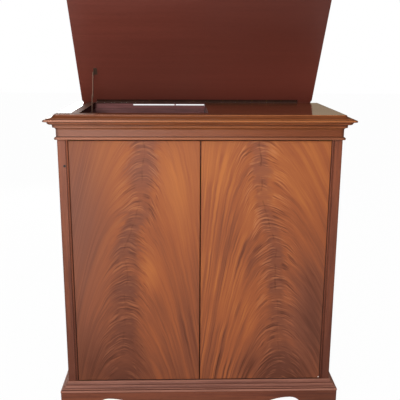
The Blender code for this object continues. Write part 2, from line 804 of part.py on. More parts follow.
def hinge_leaf(name, flip, first, parent, offset=(0.0, 0.0)):
    """One leaf of the long hinge: a strip with every second knuckle rolled round the pin.

    flip is 1 for the leaf over the pin and -1 for the one under it; first is its first knuckle.
    """
    outer = LID_BARREL_RADIUS
    inner = LID_BARREL_RADIUS - LID_HINGE_SHEET
    strip_rear = -(outer + GAP)
    strip_front = strip_rear - LID_HINGE_LEAF + outer
    clear = (outer + GAP) ** 2
    strip = [(strip_front, outer), (-math.sqrt(clear - outer**2), outer)]
    strip += [(-math.sqrt(clear - inner**2), inner), (strip_front, inner)]
    curl = arc((0.0, 0.0), (outer, outer), 90, -205, 9)
    curl += arc((0.0, 0.0), (inner, inner), -205, 90, 9)
    pitch = LID_HINGE_LENGTH / LID_KNUCKLES
    start = -LID_HINGE_LENGTH / 2
    own = range(first, LID_KNUCKLES, 2)
    stations = [start]
    for k in own:
        stations += [start + k * pitch + GAP, start + (k + 1) * pitch - GAP]
    if stations[1] - stations[0] < 2 * GAP:
        stations.pop(0)
    if start + LID_HINGE_LENGTH - stations[-1] > 2 * GAP:
        stations.append(start + LID_HINGE_LENGTH)
    opens = [any(abs(x - (start + k * pitch + GAP)) < GAP / 2 for k in own) for x in stations]
    points = []
    for x in stations:
        points += [(x, y + offset[0], flip * z + offset[1]) for y, z in strip]
    faces = [(0, 1, 2, 3), tuple(4 * (len(stations) - 1) + k for k in (3, 2, 1, 0))]
    for i in range(len(stations) - 1):
        a, b = 4 * i, 4 * i + 4
        faces += [(a, b, b + 1, a + 1), (a + 2, b + 2, b + 3, a + 3), (a + 3, b + 3, b, a)]
        if not opens[i]:
            faces.append((a + 1, b + 1, b + 2, a + 2))
            continue
        rings = []
        for corner, x in ((a, stations[i]), (b, stations[i + 1])):
            ring = [corner + 1] + list(range(len(points), len(points) + len(curl))) + [corner + 2]
            points += [(x, y + offset[0], flip * z + offset[1]) for y, z in curl]
            rings.append(ring)
        faces += [tuple(rings[0]), tuple(reversed(rings[1]))]
        for k in range(len(rings[0]) - 1):
            faces.append((rings[0][k], rings[1][k], rings[1][k + 1], rings[0][k + 1]))
    return solid(name, points, faces, "dark brass", parent)


def make_fixed_hinge_half():
    hinge_leaf("lid_hinge_lower_leaf", -1, 0, None, (HINGE_Y, HINGE_Z))
    radius = LID_BARREL_RADIUS - LID_HINGE_SHEET - GAP
    half = LID_HINGE_LENGTH / 2
    profile = [(0.0, half), (radius, half), (radius, -half), (0.0, -half)]
    turned("lid_hinge_pin", profile, 10, (0.0, HINGE_Y, HINGE_Z), 0, "steel")


def bar_outline(length, width):
    """A flat bar with round ends, from its pivot down to its other end."""
    radius = width / 2
    return arc((0.0, 0.0), (radius, radius), 0, 180, 8) + arc((0.0, -length), (radius, radius), 180, 360, 8)


def make_stay_bracket(lid_axis):
    """Angle bracket on the lid's inner face, with the pin that the stay's upper link turns on."""
    reach = STAY_PLATE_LENGTH / 2
    ear = STAY_EAR_X + STAY_PLATE
    bracket = board(
        "stay_lid_bracket",
        (STAY_EAR_X, STAY_Y - reach, LID_UNDER - GAP - STAY_PLATE),
        (ear + STAY_BAR_WIDTH, STAY_Y + reach, LID_UNDER - GAP),
        "brass",
        lid_axis,
    )
    half = STAY_BAR_WIDTH / 2
    join_box(
        bracket,
        "ear",
        (STAY_EAR_X, STAY_Y - half, STAY_Z - half),
        (ear, STAY_Y + half, LID_UNDER - GAP - STAY_PLATE / 2),
        "brass",
        lid_axis,
    )
    low = STAY_UPPER_X
    high = STAY_EAR_X + STAY_PLATE / 2
    profile = [(0.0, high), (STAY_PIN_RADIUS, high), (STAY_PIN_RADIUS, low), (0.0, low)]
    pin = turned("stay_lid_bracket_pin_piece", profile, 12, (0.0, STAY_Y, STAY_Z), 0, "brass", lid_axis)
    combine(bracket, pin, "UNION")


def make_stay():
    upper_axis = axis_empty("stay_upper_axis", (0.0, STAY_TOP_Y, STAY_TOP_Z), -STAY_LEAN)
    lower_axis = axis_empty("stay_lower_axis", (0.0, STAY_FOOT_Y, STAY_FOOT_Z), -STAY_LEAN)
    bore = STAY_PIN_RADIUS + GAP
    upper = prism(
        "stay_upper_link",
        bar_outline(STAY_UPPER_LENGTH, STAY_BAR_WIDTH),
        0,
        STAY_UPPER_X,
        STAY_UPPER_X + STAY_BAR,
        "brass",
        upper_axis,
    )
    flipped = [(y, -z) for y, z in bar_outline(STAY_LOWER_LENGTH, STAY_BAR_WIDTH)]
    lower = prism(
        "stay_lower_link", flipped, 0, STAY_LOWER_X, STAY_LOWER_X + STAY_BAR, "brass", lower_axis
    )
    for link, axis, x in ((upper, upper_axis, STAY_UPPER_X), (lower, lower_axis, STAY_LOWER_X)):
        far, near = x + 2 * STAY_BAR, x - STAY_BAR
        profile = [(0.0, far), (bore, far), (bore, near), (0.0, near)]
        cutter = turned(f"{link.name}_bore_cutter", profile, 12, (0.0, 0.0, 0.0), 0, "raw board", axis)
        combine(link, cutter, "DIFFERENCE")
    half = STAY_PLATE_LENGTH / 2
    wall = board(
        "stay_wall_bracket",
        (WELL_LEFT + GAP, STAY_FOOT_Y - half, STAY_FOOT_Z - half),
        (WELL_LEFT + GAP + STAY_PLATE, STAY_FOOT_Y + half, STAY_FOOT_Z + half),
        "brass",
    )
    low = WELL_LEFT + GAP + STAY_PLATE / 2
    high = STAY_LOWER_X + STAY_BAR
    profile = [(0.0, high), (STAY_PIN_RADIUS, high), (STAY_PIN_RADIUS, low), (0.0, low)]
    pin = turned("stay_wall_bracket_pin_piece", profile, 12, (0.0, STAY_FOOT_Y, STAY_FOOT_Z), 0, "brass")
    combine(wall, pin, "UNION")


def make_doors():
    """Inset doors on pivot pins near their outer edges, with the pins held by plates on the case."""
    for word, side in (("left", -1), ("right", 1)):
        axis = axis_empty(f"door_{word}_axis", (side * PIVOT_X, PIVOT_Y, 0.0))
        edge = side * PIVOT_INSET
        meeting = side * (DOOR_MEETING_GAP / 2 - PIVOT_X)
        ends = sorted((edge, meeting))
        door = board(
            f"door_{word}",
            (ends[0], FRONT - PIVOT_Y, DOOR_BOTTOM),
            (ends[1], DOOR_BACK - PIVOT_Y, DOOR_TOP),
            "crotch veneer",
            axis,
        )
        bevel = door.modifiers.new("eased edges", "BEVEL")
        bevel.width = DOOR_BEVEL
        bevel.segments = 1
        radius = PIVOT_PIN_RADIUS + GAP
        for place, end, way in (("top", DOOR_TOP, -1), ("bottom", DOOR_BOTTOM, 1)):
            depth = end + way * (PIVOT_PIN_LENGTH + GAP)
            spill = end - way * PIVOT_PIN_LENGTH
            low, high = sorted((depth, spill))
            profile = [(0.0, high), (radius, high), (radius, low), (0.0, low)]
            cutter = turned(
                f"door_{word}_{place}_socket_cutter", profile, 16, (0.0, 0.0, 0.0), 2, "raw board", axis
            )
            combine(door, cutter, "DIFFERENCE")
            make_pivot(word, side, place, way)


def make_pivot(word, side, place, way):
    seat = OPENING_BOTTOM if way > 0 else OPENING_TOP + CORNICE_SEAT
    low, high = sorted((seat + way * GAP, (DOOR_BOTTOM if way > 0 else DOOR_TOP) - way * GAP))
    outer = PIVOT_X + PIVOT_INSET
    ends = sorted((side * outer, side * (outer - PIVOT_PLATE_LENGTH)))
    plate = board(
        f"pivot_{word}_{place}",
        (ends[0], FRONT + GAP, low),
        (ends[1], FRONT + GAP + PIVOT_PLATE_WIDTH, high),
        "brass",
    )
    start = (low + high) / 2
    tip = (DOOR_BOTTOM if way > 0 else DOOR_TOP) + way * PIVOT_PIN_LENGTH
    low, high = sorted((start, tip))
    profile = [(0.0, high), (PIVOT_PIN_RADIUS, high), (PIVOT_PIN_RADIUS, low), (0.0, low)]
    pin = turned(
        f"pivot_{word}_{place}_pin_piece", profile, 16, (side * PIVOT_X, PIVOT_Y, 0.0), 2, "brass"
    )
    combine(plate, pin, "UNION")


def make_turntable():
    axis = axis_empty("platter_axis", (PLATTER_X, PLATTER_Y, 0.0))
    here = (0.0, 0.0, 0.0)
    lip = PLATTER_DISC / 2
    profile = [
        (PLATTER_BORE, PLATTER_TOP),
        (PLATTER_RADIUS - lip, PLATTER_TOP),
        (PLATTER_RADIUS, PLATTER_TOP - lip),
        (PLATTER_RADIUS, PLATTER_Z),
        (RIM_INSIDE, PLATTER_Z),
        (RIM_INSIDE, DISC_UNDER),
        (PLATTER_BORE, DISC_UNDER),
    ]
    turned("platter", profile, 72, here, 2, "deck enamel", axis)
    low = PLATTER_TOP + GAP
    outer = PLATTER_RADIUS - MAT_MARGIN
    profile = [(PLATTER_BORE, MAT_TOP), (outer, MAT_TOP), (outer, low), (PLATTER_BORE, low)]
    turned("platter_mat", profile, 72, here, 2, "rubber", axis)
    collar_low = MOTOR_Z + BEARING_FLANGE + 2 * GAP
    tip = MAT_TOP + SPINDLE_RISE
    tail = MOTOR_Z - MOTOR_BOARD - SPINDLE_TAIL
    profile = [
        (0.0, tip),
        (SPINDLE_RADIUS / 2, tip),
        (SPINDLE_RADIUS, tip - SPINDLE_RADIUS),
        (SPINDLE_RADIUS, DISC_UNDER - GAP),
        (SPINDLE_COLLAR_RADIUS, DISC_UNDER - GAP),
        (SPINDLE_COLLAR_RADIUS, collar_low),
        (SPINDLE_RADIUS, collar_low),
        (SPINDLE_RADIUS, tail),
        (0.0, tail),
    ]
    turned("spindle", profile, 16, here, 2, "steel", axis)
    high = MOTOR_Z + BEARING_FLANGE + GAP
    low = MOTOR_Z - MOTOR_BOARD - BEARING_TAIL
    profile = [
        (PLATTER_BORE, high),
        (BEARING_FLANGE_RADIUS, high),
        (BEARING_FLANGE_RADIUS, MOTOR_Z + GAP),
        (BEARING_RADIUS, MOTOR_Z + GAP),
        (BEARING_RADIUS, low),
        (PLATTER_BORE, low),
    ]
    turned("spindle_bearing", profile, 20, (PLATTER_X, PLATTER_Y, 0.0), 2, "brass")


def make_drive():
    """Motor under the board, its pulley, and the idler wheel that turns the platter by its inner rim."""
    axis = axis_empty("idler_axis", (IDLER_X, IDLER_Y, 0.0))
    high = IDLER_LOW + IDLER_THICKNESS
    lip = IDLER_THICKNESS / 6
    tail = MOTOR_Z - MOTOR_BOARD / 2
    profile = [
        (0.0, high + lip),
        (IDLER_HUB_RADIUS, high + lip),
        (IDLER_HUB_RADIUS, high),
        (IDLER_RADIUS, high),
        (IDLER_RADIUS, IDLER_LOW),
        (IDLER_HUB_RADIUS, IDLER_LOW),
        (IDLER_HUB_RADIUS, MOTOR_Z + GAP),
        (IDLER_AXLE_RADIUS, MOTOR_Z + GAP),
        (IDLER_AXLE_RADIUS, tail),
        (0.0, tail),
    ]
    turned("idler_wheel", profile, 28, (0.0, 0.0, 0.0), 2, "rubber", axis)
    axis = axis_empty("pulley_axis", (PULLEY_X, PULLEY_Y, 0.0))
    body_top = MOTOR_Z - MOTOR_BOARD - GAP
    tail = body_top - MOTOR_SOCKET + GAP
    profile = [
        (0.0, high + lip),
        (PULLEY_RADIUS, high + lip),
        (PULLEY_RADIUS, IDLER_LOW - lip),
        (MOTOR_SHAFT_RADIUS, IDLER_LOW - lip),
        (MOTOR_SHAFT_RADIUS, tail),
        (0.0, tail),
    ]
    turned("motor_pulley", profile, 16, (0.0, 0.0, 0.0), 2, "brass", axis)
    bore = MOTOR_SHAFT_RADIUS + GAP
    ease = MOTOR_RADIUS / 12
    bottom = body_top - MOTOR_HEIGHT
    profile = [
        (bore, body_top),
        (MOTOR_RADIUS - ease, body_top),
        (MOTOR_RADIUS, body_top - ease),
        (MOTOR_RADIUS, bottom + ease),
        (MOTOR_RADIUS - ease, bottom),
        (0.0, bottom),
        (0.0, body_top - MOTOR_SOCKET),
        (bore, body_top - MOTOR_SOCKET),
    ]
    turned("motor", profile, 28, (PULLEY_X, PULLEY_Y, 0.0), 2, "painted steel")


def make_tonearm():
    post_top = YOKE_Z - GAP
    post_foot = MOTOR_Z + GAP
    profile = [(0.0, post_top), (YOKE_RADIUS, post_top), (ARM_POST_RADIUS, post_foot), (0.0, post_foot)]
    turned("tonearm_post", profile, 24, (ARM_X, ARM_Y, 0.0), 2, "painted steel")
    swing = axis_empty("tonearm_swing_axis", (ARM_X, ARM_Y, ARM_Z))
    low = YOKE_Z - ARM_Z
    profile = [(0.0, low + YOKE_BASE), (YOKE_RADIUS, low + YOKE_BASE), (YOKE_RADIUS, low), (0.0, low)]
    yoke = turned("tonearm_yoke", profile, 24, (0.0, 0.0, 0.0), 2, "painted steel", swing)
    near = ARM_WIDTH / 2 + 2 * GAP
    for label, side in (("left", -1), ("right", 1)):
        ends = sorted((side * near, side * (near + YOKE_EAR)))
        join_box(
            yoke,
            f"{label}_ear",
            (ends[0], -YOKE_EAR_WIDTH / 2, low + YOKE_BASE / 2),
            (ends[1], YOKE_EAR_WIDTH / 2, YOKE_EAR_WIDTH / 2),
            "painted steel",
            swing,
        )
    reach = near + YOKE_EAR / 2
    profile = [(0.0, reach), (YOKE_PIN_RADIUS, reach), (YOKE_PIN_RADIUS, -reach), (0.0, -reach)]
    pin = turned("tonearm_yoke_pin_piece", profile, 12, (0.0, 0.0, 0.0), 0, "painted steel", swing)
    combine(yoke, pin, "UNION")
    make_arm()
    profile_top = ARM_Z - ARM_HEIGHT / 2 - GAP
    profile = [
        (0.0, profile_top),
        (ARM_REST_RADIUS, profile_top),
        (ARM_REST_RADIUS, MOTOR_Z + GAP),
        (0.0, MOTOR_Z + GAP),
    ]
    turned("tonearm_rest", profile, 16, (ARM_X, ARM_Y - ARM_REST_REACH, 0.0), 2, "bakelite")


def make_arm():
    """Tonearm about its lift axis: bar, counterweight, head, pick-up and stylus as one moving piece."""
    lift = axis_empty("tonearm_lift_axis", (ARM_X, ARM_Y, ARM_Z))
    tail = COUNTERWEIGHT_SETBACK + COUNTERWEIGHT_LENGTH / 2
    arm = board(
        "tonearm",
        (-ARM_WIDTH / 2, -(ARM_LENGTH - ARM_HEAD_LENGTH / 2), -ARM_HEIGHT / 2),
        (ARM_WIDTH / 2, tail, ARM_HEIGHT / 2),
        "ivory plastic",
        lift,
    )
    high = COUNTERWEIGHT_SETBACK + COUNTERWEIGHT_LENGTH
    profile = [
        (0.0, high),
        (COUNTERWEIGHT_RADIUS, high),
        (COUNTERWEIGHT_RADIUS, COUNTERWEIGHT_SETBACK),
        (0.0, COUNTERWEIGHT_SETBACK),
    ]
    weight = turned("tonearm_weight_piece", profile, 20, (0.0, 0.0, 0.0), 1, "painted steel", lift)
    combine(arm, weight, "UNION")
    head_low = -0.6 * ARM_HEAD_HEIGHT
    join_box(
        arm,
        "head",
        (-ARM_HEAD_WIDTH / 2, -ARM_LENGTH, head_low),
        (ARM_HEAD_WIDTH / 2, ARM_HEAD_LENGTH - ARM_LENGTH, 0.6 * ARM_HEAD_HEIGHT),
        "ivory plastic",
        lift,
    )
    pick_low = head_low - CARTRIDGE_HEIGHT
    middle = -ARM_LENGTH + ARM_HEAD_LENGTH / 2
    join_box(
        arm,
        "pick_up",
        (-CARTRIDGE_WIDTH / 2, middle - CARTRIDGE_LENGTH / 2, pick_low),
        (CARTRIDGE_WIDTH / 2, middle + CARTRIDGE_LENGTH / 2, 0.0),
        "bakelite",
        lift,
    )
    tip = MAT_TOP + STYLUS_CLEARANCE - ARM_Z
    half = STYLUS_WIDTH / 2
    point = middle - CARTRIDGE_LENGTH / 4
    join_box(
        arm,
        "stylus",
        (-half, point - half, tip),
        (half, point + half, pick_low + CARTRIDGE_HEIGHT / 2),
        "steel",
        lift,
    )
    bore = YOKE_PIN_RADIUS + GAP
    profile = [(0.0, ARM_WIDTH), (bore, ARM_WIDTH), (bore, -ARM_WIDTH), (0.0, -ARM_WIDTH)]
    cutter = turned("tonearm_pivot_cutter", profile, 12, (0.0, 0.0, 0.0), 0, "raw board", lift)
    combine(arm, cutter, "DIFFERENCE")


def speed_knob_place():
    return WELL_RIGHT - SPEED_KNOB_MARGIN, WELL_FRONT + SPEED_KNOB_MARGIN


def knob(name, location, axis, way):
    """A skirted knob with its shaft, turned about axis; way is the direction that it faces."""
    parent = axis_empty(f"{name}_axis", location)
    high = GAP + KNOB_HEIGHT
    rim = KNOB_RADIUS * 0.75
    profile = [
        (0.0, way * high),
        (rim - KNOB_HEIGHT / 12, way * high),
        (rim, way * (high - KNOB_HEIGHT / 12)),
        (rim, way * (GAP + KNOB_HEIGHT / 4)),
        (KNOB_RADIUS, way * (GAP + KNOB_HEIGHT / 8)),
        (KNOB_RADIUS, way * GAP),
        (KNOB_SHAFT_RADIUS, way * GAP),
        (KNOB_SHAFT_RADIUS, -way * KNOB_SHAFT_LENGTH),
        (0.0, -way * KNOB_SHAFT_LENGTH),
    ]
    turned(name, profile, 20, (0.0, 0.0, 0.0), axis, "bakelite", parent)


def make_controls():
    panel = board(
        "control_panel",
        (PARTITION_RIGHT + GAP, BAFFLE_FRONT, CONTROL_BOTTOM),
        (INSIDE - GAP, BAFFLE_FRONT + CONTROL_BOARD, TOP_UNDER - GAP),
        "mahogany",
    )
    line = CONTROL_BOTTOM + KNOB_LINE
    for name, side in (("volume_knob", -1), ("tone_knob", 1)):
        x = BAY_MIDDLE + side * KNOB_SPACING / 2
        cut_round(
            panel,
            name,
            KNOB_SHAFT_RADIUS + GAP,
            (x, 0.0, line),
            1,
            BAFFLE_FRONT - CONTROL_BOARD,
            BAFFLE_FRONT + 2 * CONTROL_BOARD,
            12,
        )
        knob(name, (x, BAFFLE_FRONT, line), 1, -1)
    knob("speed_knob", (*speed_knob_place(), MOTOR_Z), 2, 1)


def make_amplifier():
    front = BAFFLE_FRONT + CONTROL_BOARD + GAP
    low = CONTROL_BOTTOM
    high = low + CHASSIS_HEIGHT
    chassis = board(
        "amplifier_chassis",
        (BAY_MIDDLE - CHASSIS_WIDTH / 2, front, low),
        (BAY_MIDDLE + CHASSIS_WIDTH / 2, front + CHASSIS_DEPTH, high),
        "painted steel",
    )
    back = front + CHASSIS_DEPTH - TRANSFORMER / 4
    left = BAY_MIDDLE - CHASSIS_WIDTH / 2 + TRANSFORMER / 4
    join_box(
        chassis,
        "transformer",
        (left, back - TRANSFORMER, high - CHASSIS_HEIGHT / 2),
        (left + TRANSFORMER, back, high + TRANSFORMER),
        "painted steel",
    )
    row = front + CHASSIS_DEPTH / 4
    for k in range(VALVES):
        x = BAY_MIDDLE + CHASSIS_WIDTH / 2 - VALVE_PITCH * (k + 0.75)
        low_end = high - CHASSIS_HEIGHT / 2
        neck = high + VALVE_HEIGHT
        profile = [
            (0.0, neck),
            (VALVE_RADIUS / 2, neck),
            (VALVE_RADIUS, neck - VALVE_RADIUS),
            (VALVE_RADIUS, low_end),
            (0.0, low_end),
        ]
        valve = turned(f"amplifier_valve_{k}_piece", profile, 12, (x, row, 0.0), 2, "painted steel")
        combine(chassis, valve, "UNION")


def make_speaker():
    middle = (BAY_MIDDLE, 0.0, SPEAKER_Z)
    baffle = board(
        "speaker_baffle",
        (PARTITION_RIGHT + GAP, BAFFLE_FRONT, OPENING_BOTTOM + GAP),
        (INSIDE - GAP, BAFFLE_BACK, CONTROL_BOTTOM - GAP),
        "raw board",
    )
    cut_round(
        baffle,
        "mouth",
        SPEAKER_HOLE_RADIUS,
        middle,
        1,
        BAFFLE_FRONT - BAFFLE_BOARD,
        BAFFLE_BACK + BAFFLE_BOARD,
        40,
    )
    board(
        "grille_cloth",
        (PARTITION_RIGHT + CLOTH_MARGIN, BAFFLE_FRONT - GAP - CLOTH_THICKNESS, OPENING_BOTTOM + CLOTH_MARGIN),
        (INSIDE - CLOTH_MARGIN, BAFFLE_FRONT - GAP, CONTROL_BOTTOM - CLOTH_MARGIN),
        "grille cloth",
    )
    seat = BAFFLE_BACK + GAP
    neck = seat + SPEAKER_DEPTH - SPEAKER_MAGNET_DEPTH
    mouth = SPEAKER_HOLE_RADIUS + SPEAKER_FLANGE / 2
    profile = [
        (SPEAKER_FLANGE_RADIUS, seat),
        (SPEAKER_FLANGE_RADIUS, seat + SPEAKER_FLANGE),
        (mouth + SPEAKER_WALL / 2, seat + 1.5 * SPEAKER_FLANGE),
        (SPEAKER_MAGNET_RADIUS, neck),
        (SPEAKER_MAGNET_RADIUS, seat + SPEAKER_DEPTH),
        (0.0, seat + SPEAKER_DEPTH),
        (0.0, neck + SPEAKER_WALL / 2),
        (SPEAKER_MAGNET_RADIUS - 1.5 * SPEAKER_WALL, neck + SPEAKER_WALL / 2),
        (SPEAKER_MAGNET_RADIUS - 1.5 * SPEAKER_WALL, neck - SPEAKER_WALL / 2),
        (mouth, seat + SPEAKER_FLANGE),
        (mouth, seat),
    ]
    turned("speaker_frame", profile, 32, middle, 1, "painted steel")
    rim = mouth - GAP
    profile = [
        (0.0, seat + CONE_DEPTH - DUST_CAP_RADIUS / 3),
        (DUST_CAP_RADIUS * 0.7, seat + CONE_DEPTH - DUST_CAP_RADIUS / 5),
        (DUST_CAP_RADIUS, seat + CONE_DEPTH),
        (rim - 4 * CONE_SHEET, seat + CONE_SHEET / 2),
        (rim, seat + CONE_SHEET / 2),
        (rim, seat + 1.5 * CONE_SHEET),
        (rim - 4 * CONE_SHEET, seat + 2 * CONE_SHEET),
        (DUST_CAP_RADIUS, seat + CONE_DEPTH + 1.5 * CONE_SHEET),
        (0.0, seat + CONE_DEPTH),
    ]
    turned("speaker_cone", profile, 32, middle, 1, "cone paper")


def main():
    clear_scene()
    make_sides()
    make_case_boards()
    make_back_panel()
    make_mouldings()
    make_plinth()
    make_top()
    make_well()
    make_record_storage()
    make_lid()
    make_fixed_hinge_half()
    make_stay()
    make_doors()
    make_turntable()
    make_drive()
    make_tonearm()
    make_controls()
    make_amplifier()
    make_speaker()


main()
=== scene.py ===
"""Dresses the phonograph console cabinet: wood, veneered doors, hinge, stay, record player and sound bay.

Everything is in metres in the cabinet's own frame, +Z up and the doors facing -Y.
"""

import json
import math

import bmesh
import bpy
import numpy as np
from mathutils import Matrix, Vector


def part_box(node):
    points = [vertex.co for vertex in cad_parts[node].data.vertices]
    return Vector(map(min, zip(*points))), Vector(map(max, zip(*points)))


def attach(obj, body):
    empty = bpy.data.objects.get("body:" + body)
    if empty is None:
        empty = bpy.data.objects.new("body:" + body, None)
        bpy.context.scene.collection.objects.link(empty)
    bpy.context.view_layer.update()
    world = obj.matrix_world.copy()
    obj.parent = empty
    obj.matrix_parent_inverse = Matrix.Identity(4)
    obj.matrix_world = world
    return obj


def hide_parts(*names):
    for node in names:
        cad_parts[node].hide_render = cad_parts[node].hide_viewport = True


bl_info = {
    "name": "Phonograph Console Cabinet",
    "version": (1, 0, 0),
    "blender": (4, 5, 0),
    "location": "View3D > Sidebar > Cabinet",
    "description": "Finishes and fittings of a two-door phonograph cabinet with a lift-up lid",
    "category": "Object",
}

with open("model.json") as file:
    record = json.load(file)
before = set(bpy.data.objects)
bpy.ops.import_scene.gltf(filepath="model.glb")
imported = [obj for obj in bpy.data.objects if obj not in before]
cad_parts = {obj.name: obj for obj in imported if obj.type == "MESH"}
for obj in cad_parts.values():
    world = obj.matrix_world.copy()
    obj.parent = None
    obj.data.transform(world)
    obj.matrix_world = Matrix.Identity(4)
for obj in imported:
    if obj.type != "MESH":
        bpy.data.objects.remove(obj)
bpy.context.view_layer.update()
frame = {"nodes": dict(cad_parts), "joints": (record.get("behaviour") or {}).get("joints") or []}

GROUP_PREFIX = "Cabinet "
VECTOR = "NodeSocketVector"
VALUE = "NodeSocketFloat"
LID_ANGLE = math.radians(54.9)


def screen(red, green, blue):
    """A colour as seen on screen, 0 to 255, as the linear colour that a shader takes."""
    shares = np.array([red, green, blue]) / 255.0
    linear = np.where(shares <= 0.04045, shares / 12.92, ((shares + 0.055) / 1.055) ** 2.4)
    return tuple(float(share) for share in linear)


def colour(name, description, value):
    """A colour that a user may change, given as seen on screen."""
    return bpy.props.FloatVectorProperty(
        name=name, description=description, default=screen(*value), min=0.0, max=1.0, subtype="COLOR"
    )


def number(name, description, value, **kind):
    """A number that a user may change, of the given kind."""
    return bpy.props.FloatProperty(name=name, description=description, default=value, **kind)


def length(name, description, value):
    return number(name, description, value, min=0.0, precision=4, subtype="DISTANCE", unit="LENGTH")


def angle(name, description, value):
    return number(name, description, value, subtype="ANGLE")


def power(name, description, value):
    return number(name, description, value, subtype="POWER")


class CabinetColours(bpy.types.PropertyGroup):
    """Colours of the finishes."""

    case_dark: colour("Case dark", "Dark streaks of the case's mahogany", (96, 48, 33))
    case_light: colour("Case light", "Light streaks of the case's mahogany", (142, 78, 51))
    case_bleached: colour("Case bleached", "Bleached upper part of the sides", (158, 88, 58))
    moulding_dark: colour("Moulding dark", "Dark streaks of the mouldings", (112, 58, 31))
    moulding_light: colour("Moulding light", "Light streaks of the mouldings", (156, 89, 49))
    frieze: colour("Frieze", "Faded flat of the frieze", (152, 84, 52))
    bleached: colour("Bleached", "Bleached left end of the cornice", (164, 118, 101))
    frieze_bead: colour("Bead", "Pale bead under the frieze", (186, 124, 98))
    # Painted light of the mouldings: highlights on their edges, shade in their recesses and at the mitres.
    rubbed: colour("Rubbed edge", "Edges of the mouldings, rubbed bright", (180, 111, 66))
    hollow: colour("Hollow", "Grime in the hollows of the mouldings", (62, 28, 17))
    rubbed_base: colour("Rubbed base", "Edges of the base moulding, rubbed pale", (172, 118, 98))
    base_dark: colour("Base dark", "Dark streaks of the base moulding", (114, 69, 57))
    base_light: colour("Base light", "Light streaks of the base moulding", (160, 106, 89))
    veneer_dark: colour("Veneer dark", "Heart of the crotch figure", (88, 46, 29))
    veneer_brown: colour("Veneer brown", "Brown between the strokes", (124, 69, 46))
    veneer_orange: colour("Veneer orange", "Plain orange ground of the veneer", (158, 87, 50))
    veneer_gold: colour("Veneer gold", "Golden lights of the veneer", (184, 109, 57))
    veneer_faded: colour("Veneer faded", "Dull mauve of the faded outer side", (128, 80, 64))
    heart_high: colour("Heart high", "Dull heart of the figure near the top", (134, 80, 61))
    heart_low: colour("Heart low", "Dull heart of the figure near the bottom", (95, 52, 37))
    flame_high: colour("Flame high", "Light strokes of the figure near the top", (190, 122, 82))
    flame_low: colour("Flame low", "Light strokes of the figure near the bottom", (156, 94, 66))
    # The rim colours are a painted reflection: glare near the front, the mirrored lid near the hinge.
    rim_front: colour("Rim front", "Worn strip left of the well, near the front", (112, 72, 56))
    rim_rear: colour("Rim rear", "Worn strip left of the well, near the hinge", (84, 52, 42))
    lid_dark: colour("Lid dark", "Dark streaks of the lid", (110, 53, 42))
    lid_light: colour("Lid light", "Light streaks of the lid", (122, 61, 49))
    top_dark: colour("Top dark", "Dark streaks of the polished top", (90, 49, 34))
    top_light: colour("Top light", "Light streaks of the polished top", (144, 85, 56))
    lining_dark: colour("Lining dark", "Dark streaks of the inner boards", (72, 42, 38))
    lining_light: colour("Lining light", "Light streaks of the inner boards", (112, 70, 64))
    raw_dark: colour("Bare wood dark", "Dark streaks of unfinished boards", (140, 106, 70))
    raw_light: colour("Bare wood light", "Light streaks of unfinished boards", (188, 156, 114))
    fibre: colour("Fibreboard", "Pressed board of the back", (112, 84, 60))
    hinge: colour("Hinge", "Tarnished strip of the lid's hinge", (84, 49, 35))
    stay: colour("Stay", "Tarnished brass of the folding stay", (128, 95, 76))
    brass: colour("Brass", "Brass of pivots, bearing and screws", (176, 138, 78))
    steel: colour("Steel", "Bright steel of spindle and pins", (190, 190, 190))
    paint: colour("Paint", "Satin paint of motor and arm post", (66, 62, 58))
    enamel: colour("Enamel", "Hammered enamel of deck and platter", (122, 110, 94))
    rubber: colour("Rubber", "Rubber of mat, wheel and gland", (30, 29, 28))
    knob: colour("Knob", "Moulded knobs", (46, 28, 20))
    # The pin's near-white colour is a painted glint.
    pin: colour("Pin", "Bright pin at the foot of the right door", (250, 238, 226))
    ivory: colour("Ivory", "Moulded tonearm and knob pointers", (214, 204, 178))
    cloth: colour("Cloth", "Grille cloth threads", (150, 124, 84))
    cloth_dark: colour("Cloth shade", "Gaps between the cloth's threads", (72, 52, 34))
    cone: colour("Cone", "Pressed paper of the cone", (44, 42, 40))
    # The well's boards are a lighter copy of the lining: painted light that stands in for the light the
    # well's shadow keeps out.
    well_dark: colour("Well dark", "Dark streaks of the well's boards", (116, 74, 72))
    well_light: colour("Well light", "Light streaks of the well's boards", (168, 112, 110))
    wall: colour("Far wall", "Room behind the cabinet, as its polish mirrors it", (172, 155, 131))


class CabinetSizes(bpy.types.PropertyGroup):
    """Sizes of the fittings that the cabinet's solids leave out."""

    hinge_screw_pitch: length("Hinge screw pitch", "Distance between hinge screws", 0.0508)
    hinge_screw_end: length("Last hinge screw", "Rightmost hinge screw from the middle", 0.3419)
    hinge_screw_radius: length("Hinge screw radius", "Radius of a hinge screw's head", 0.0024)
    back_screw_radius: length("Back screw radius", "Radius of a back screw's head", 0.0042)
    rivet_radius: length("Rivet radius", "Radius of the stay's rivet heads", 0.0036)
    stay_ear: length("Stay ear", "Ear of the lid bracket beside the upper link, with its gap", 0.0018)
    stay_upper: length("Stay upper link", "Length of the stay's upper link between its pivots", 0.075)
    stay_lower: length("Stay lower link", "Length of the stay's lower link between its pivots", 0.070)
    rib_pitch: length("Mat rib pitch", "Distance between the mat's ribs", 0.0058)
    rib_height: length("Mat rib height", "Height of the mat's ribs", 0.0008)
    rim_width: length("Rim width", "Worn strip along the left of the well", 0.026)
    bead_seat: length("Bead seat", "Gap between the cornice's bead and the door opening", 0.0008)
    cornice_reach: length("Cornice reach", "How far the cornice's nose stands out", 0.0325)
    frieze_reach: length("Frieze reach", "How far the frieze stands out", 0.002)
    base_reach: length("Base reach", "How far the base moulding stands out", 0.023)
    profile_step: length("Profile step", "Distance between points along a moulding's profile", 0.0009)
    flutes: bpy.props.IntProperty(name="Knob flutes", description="Flutes round a knob", default=22, min=3)


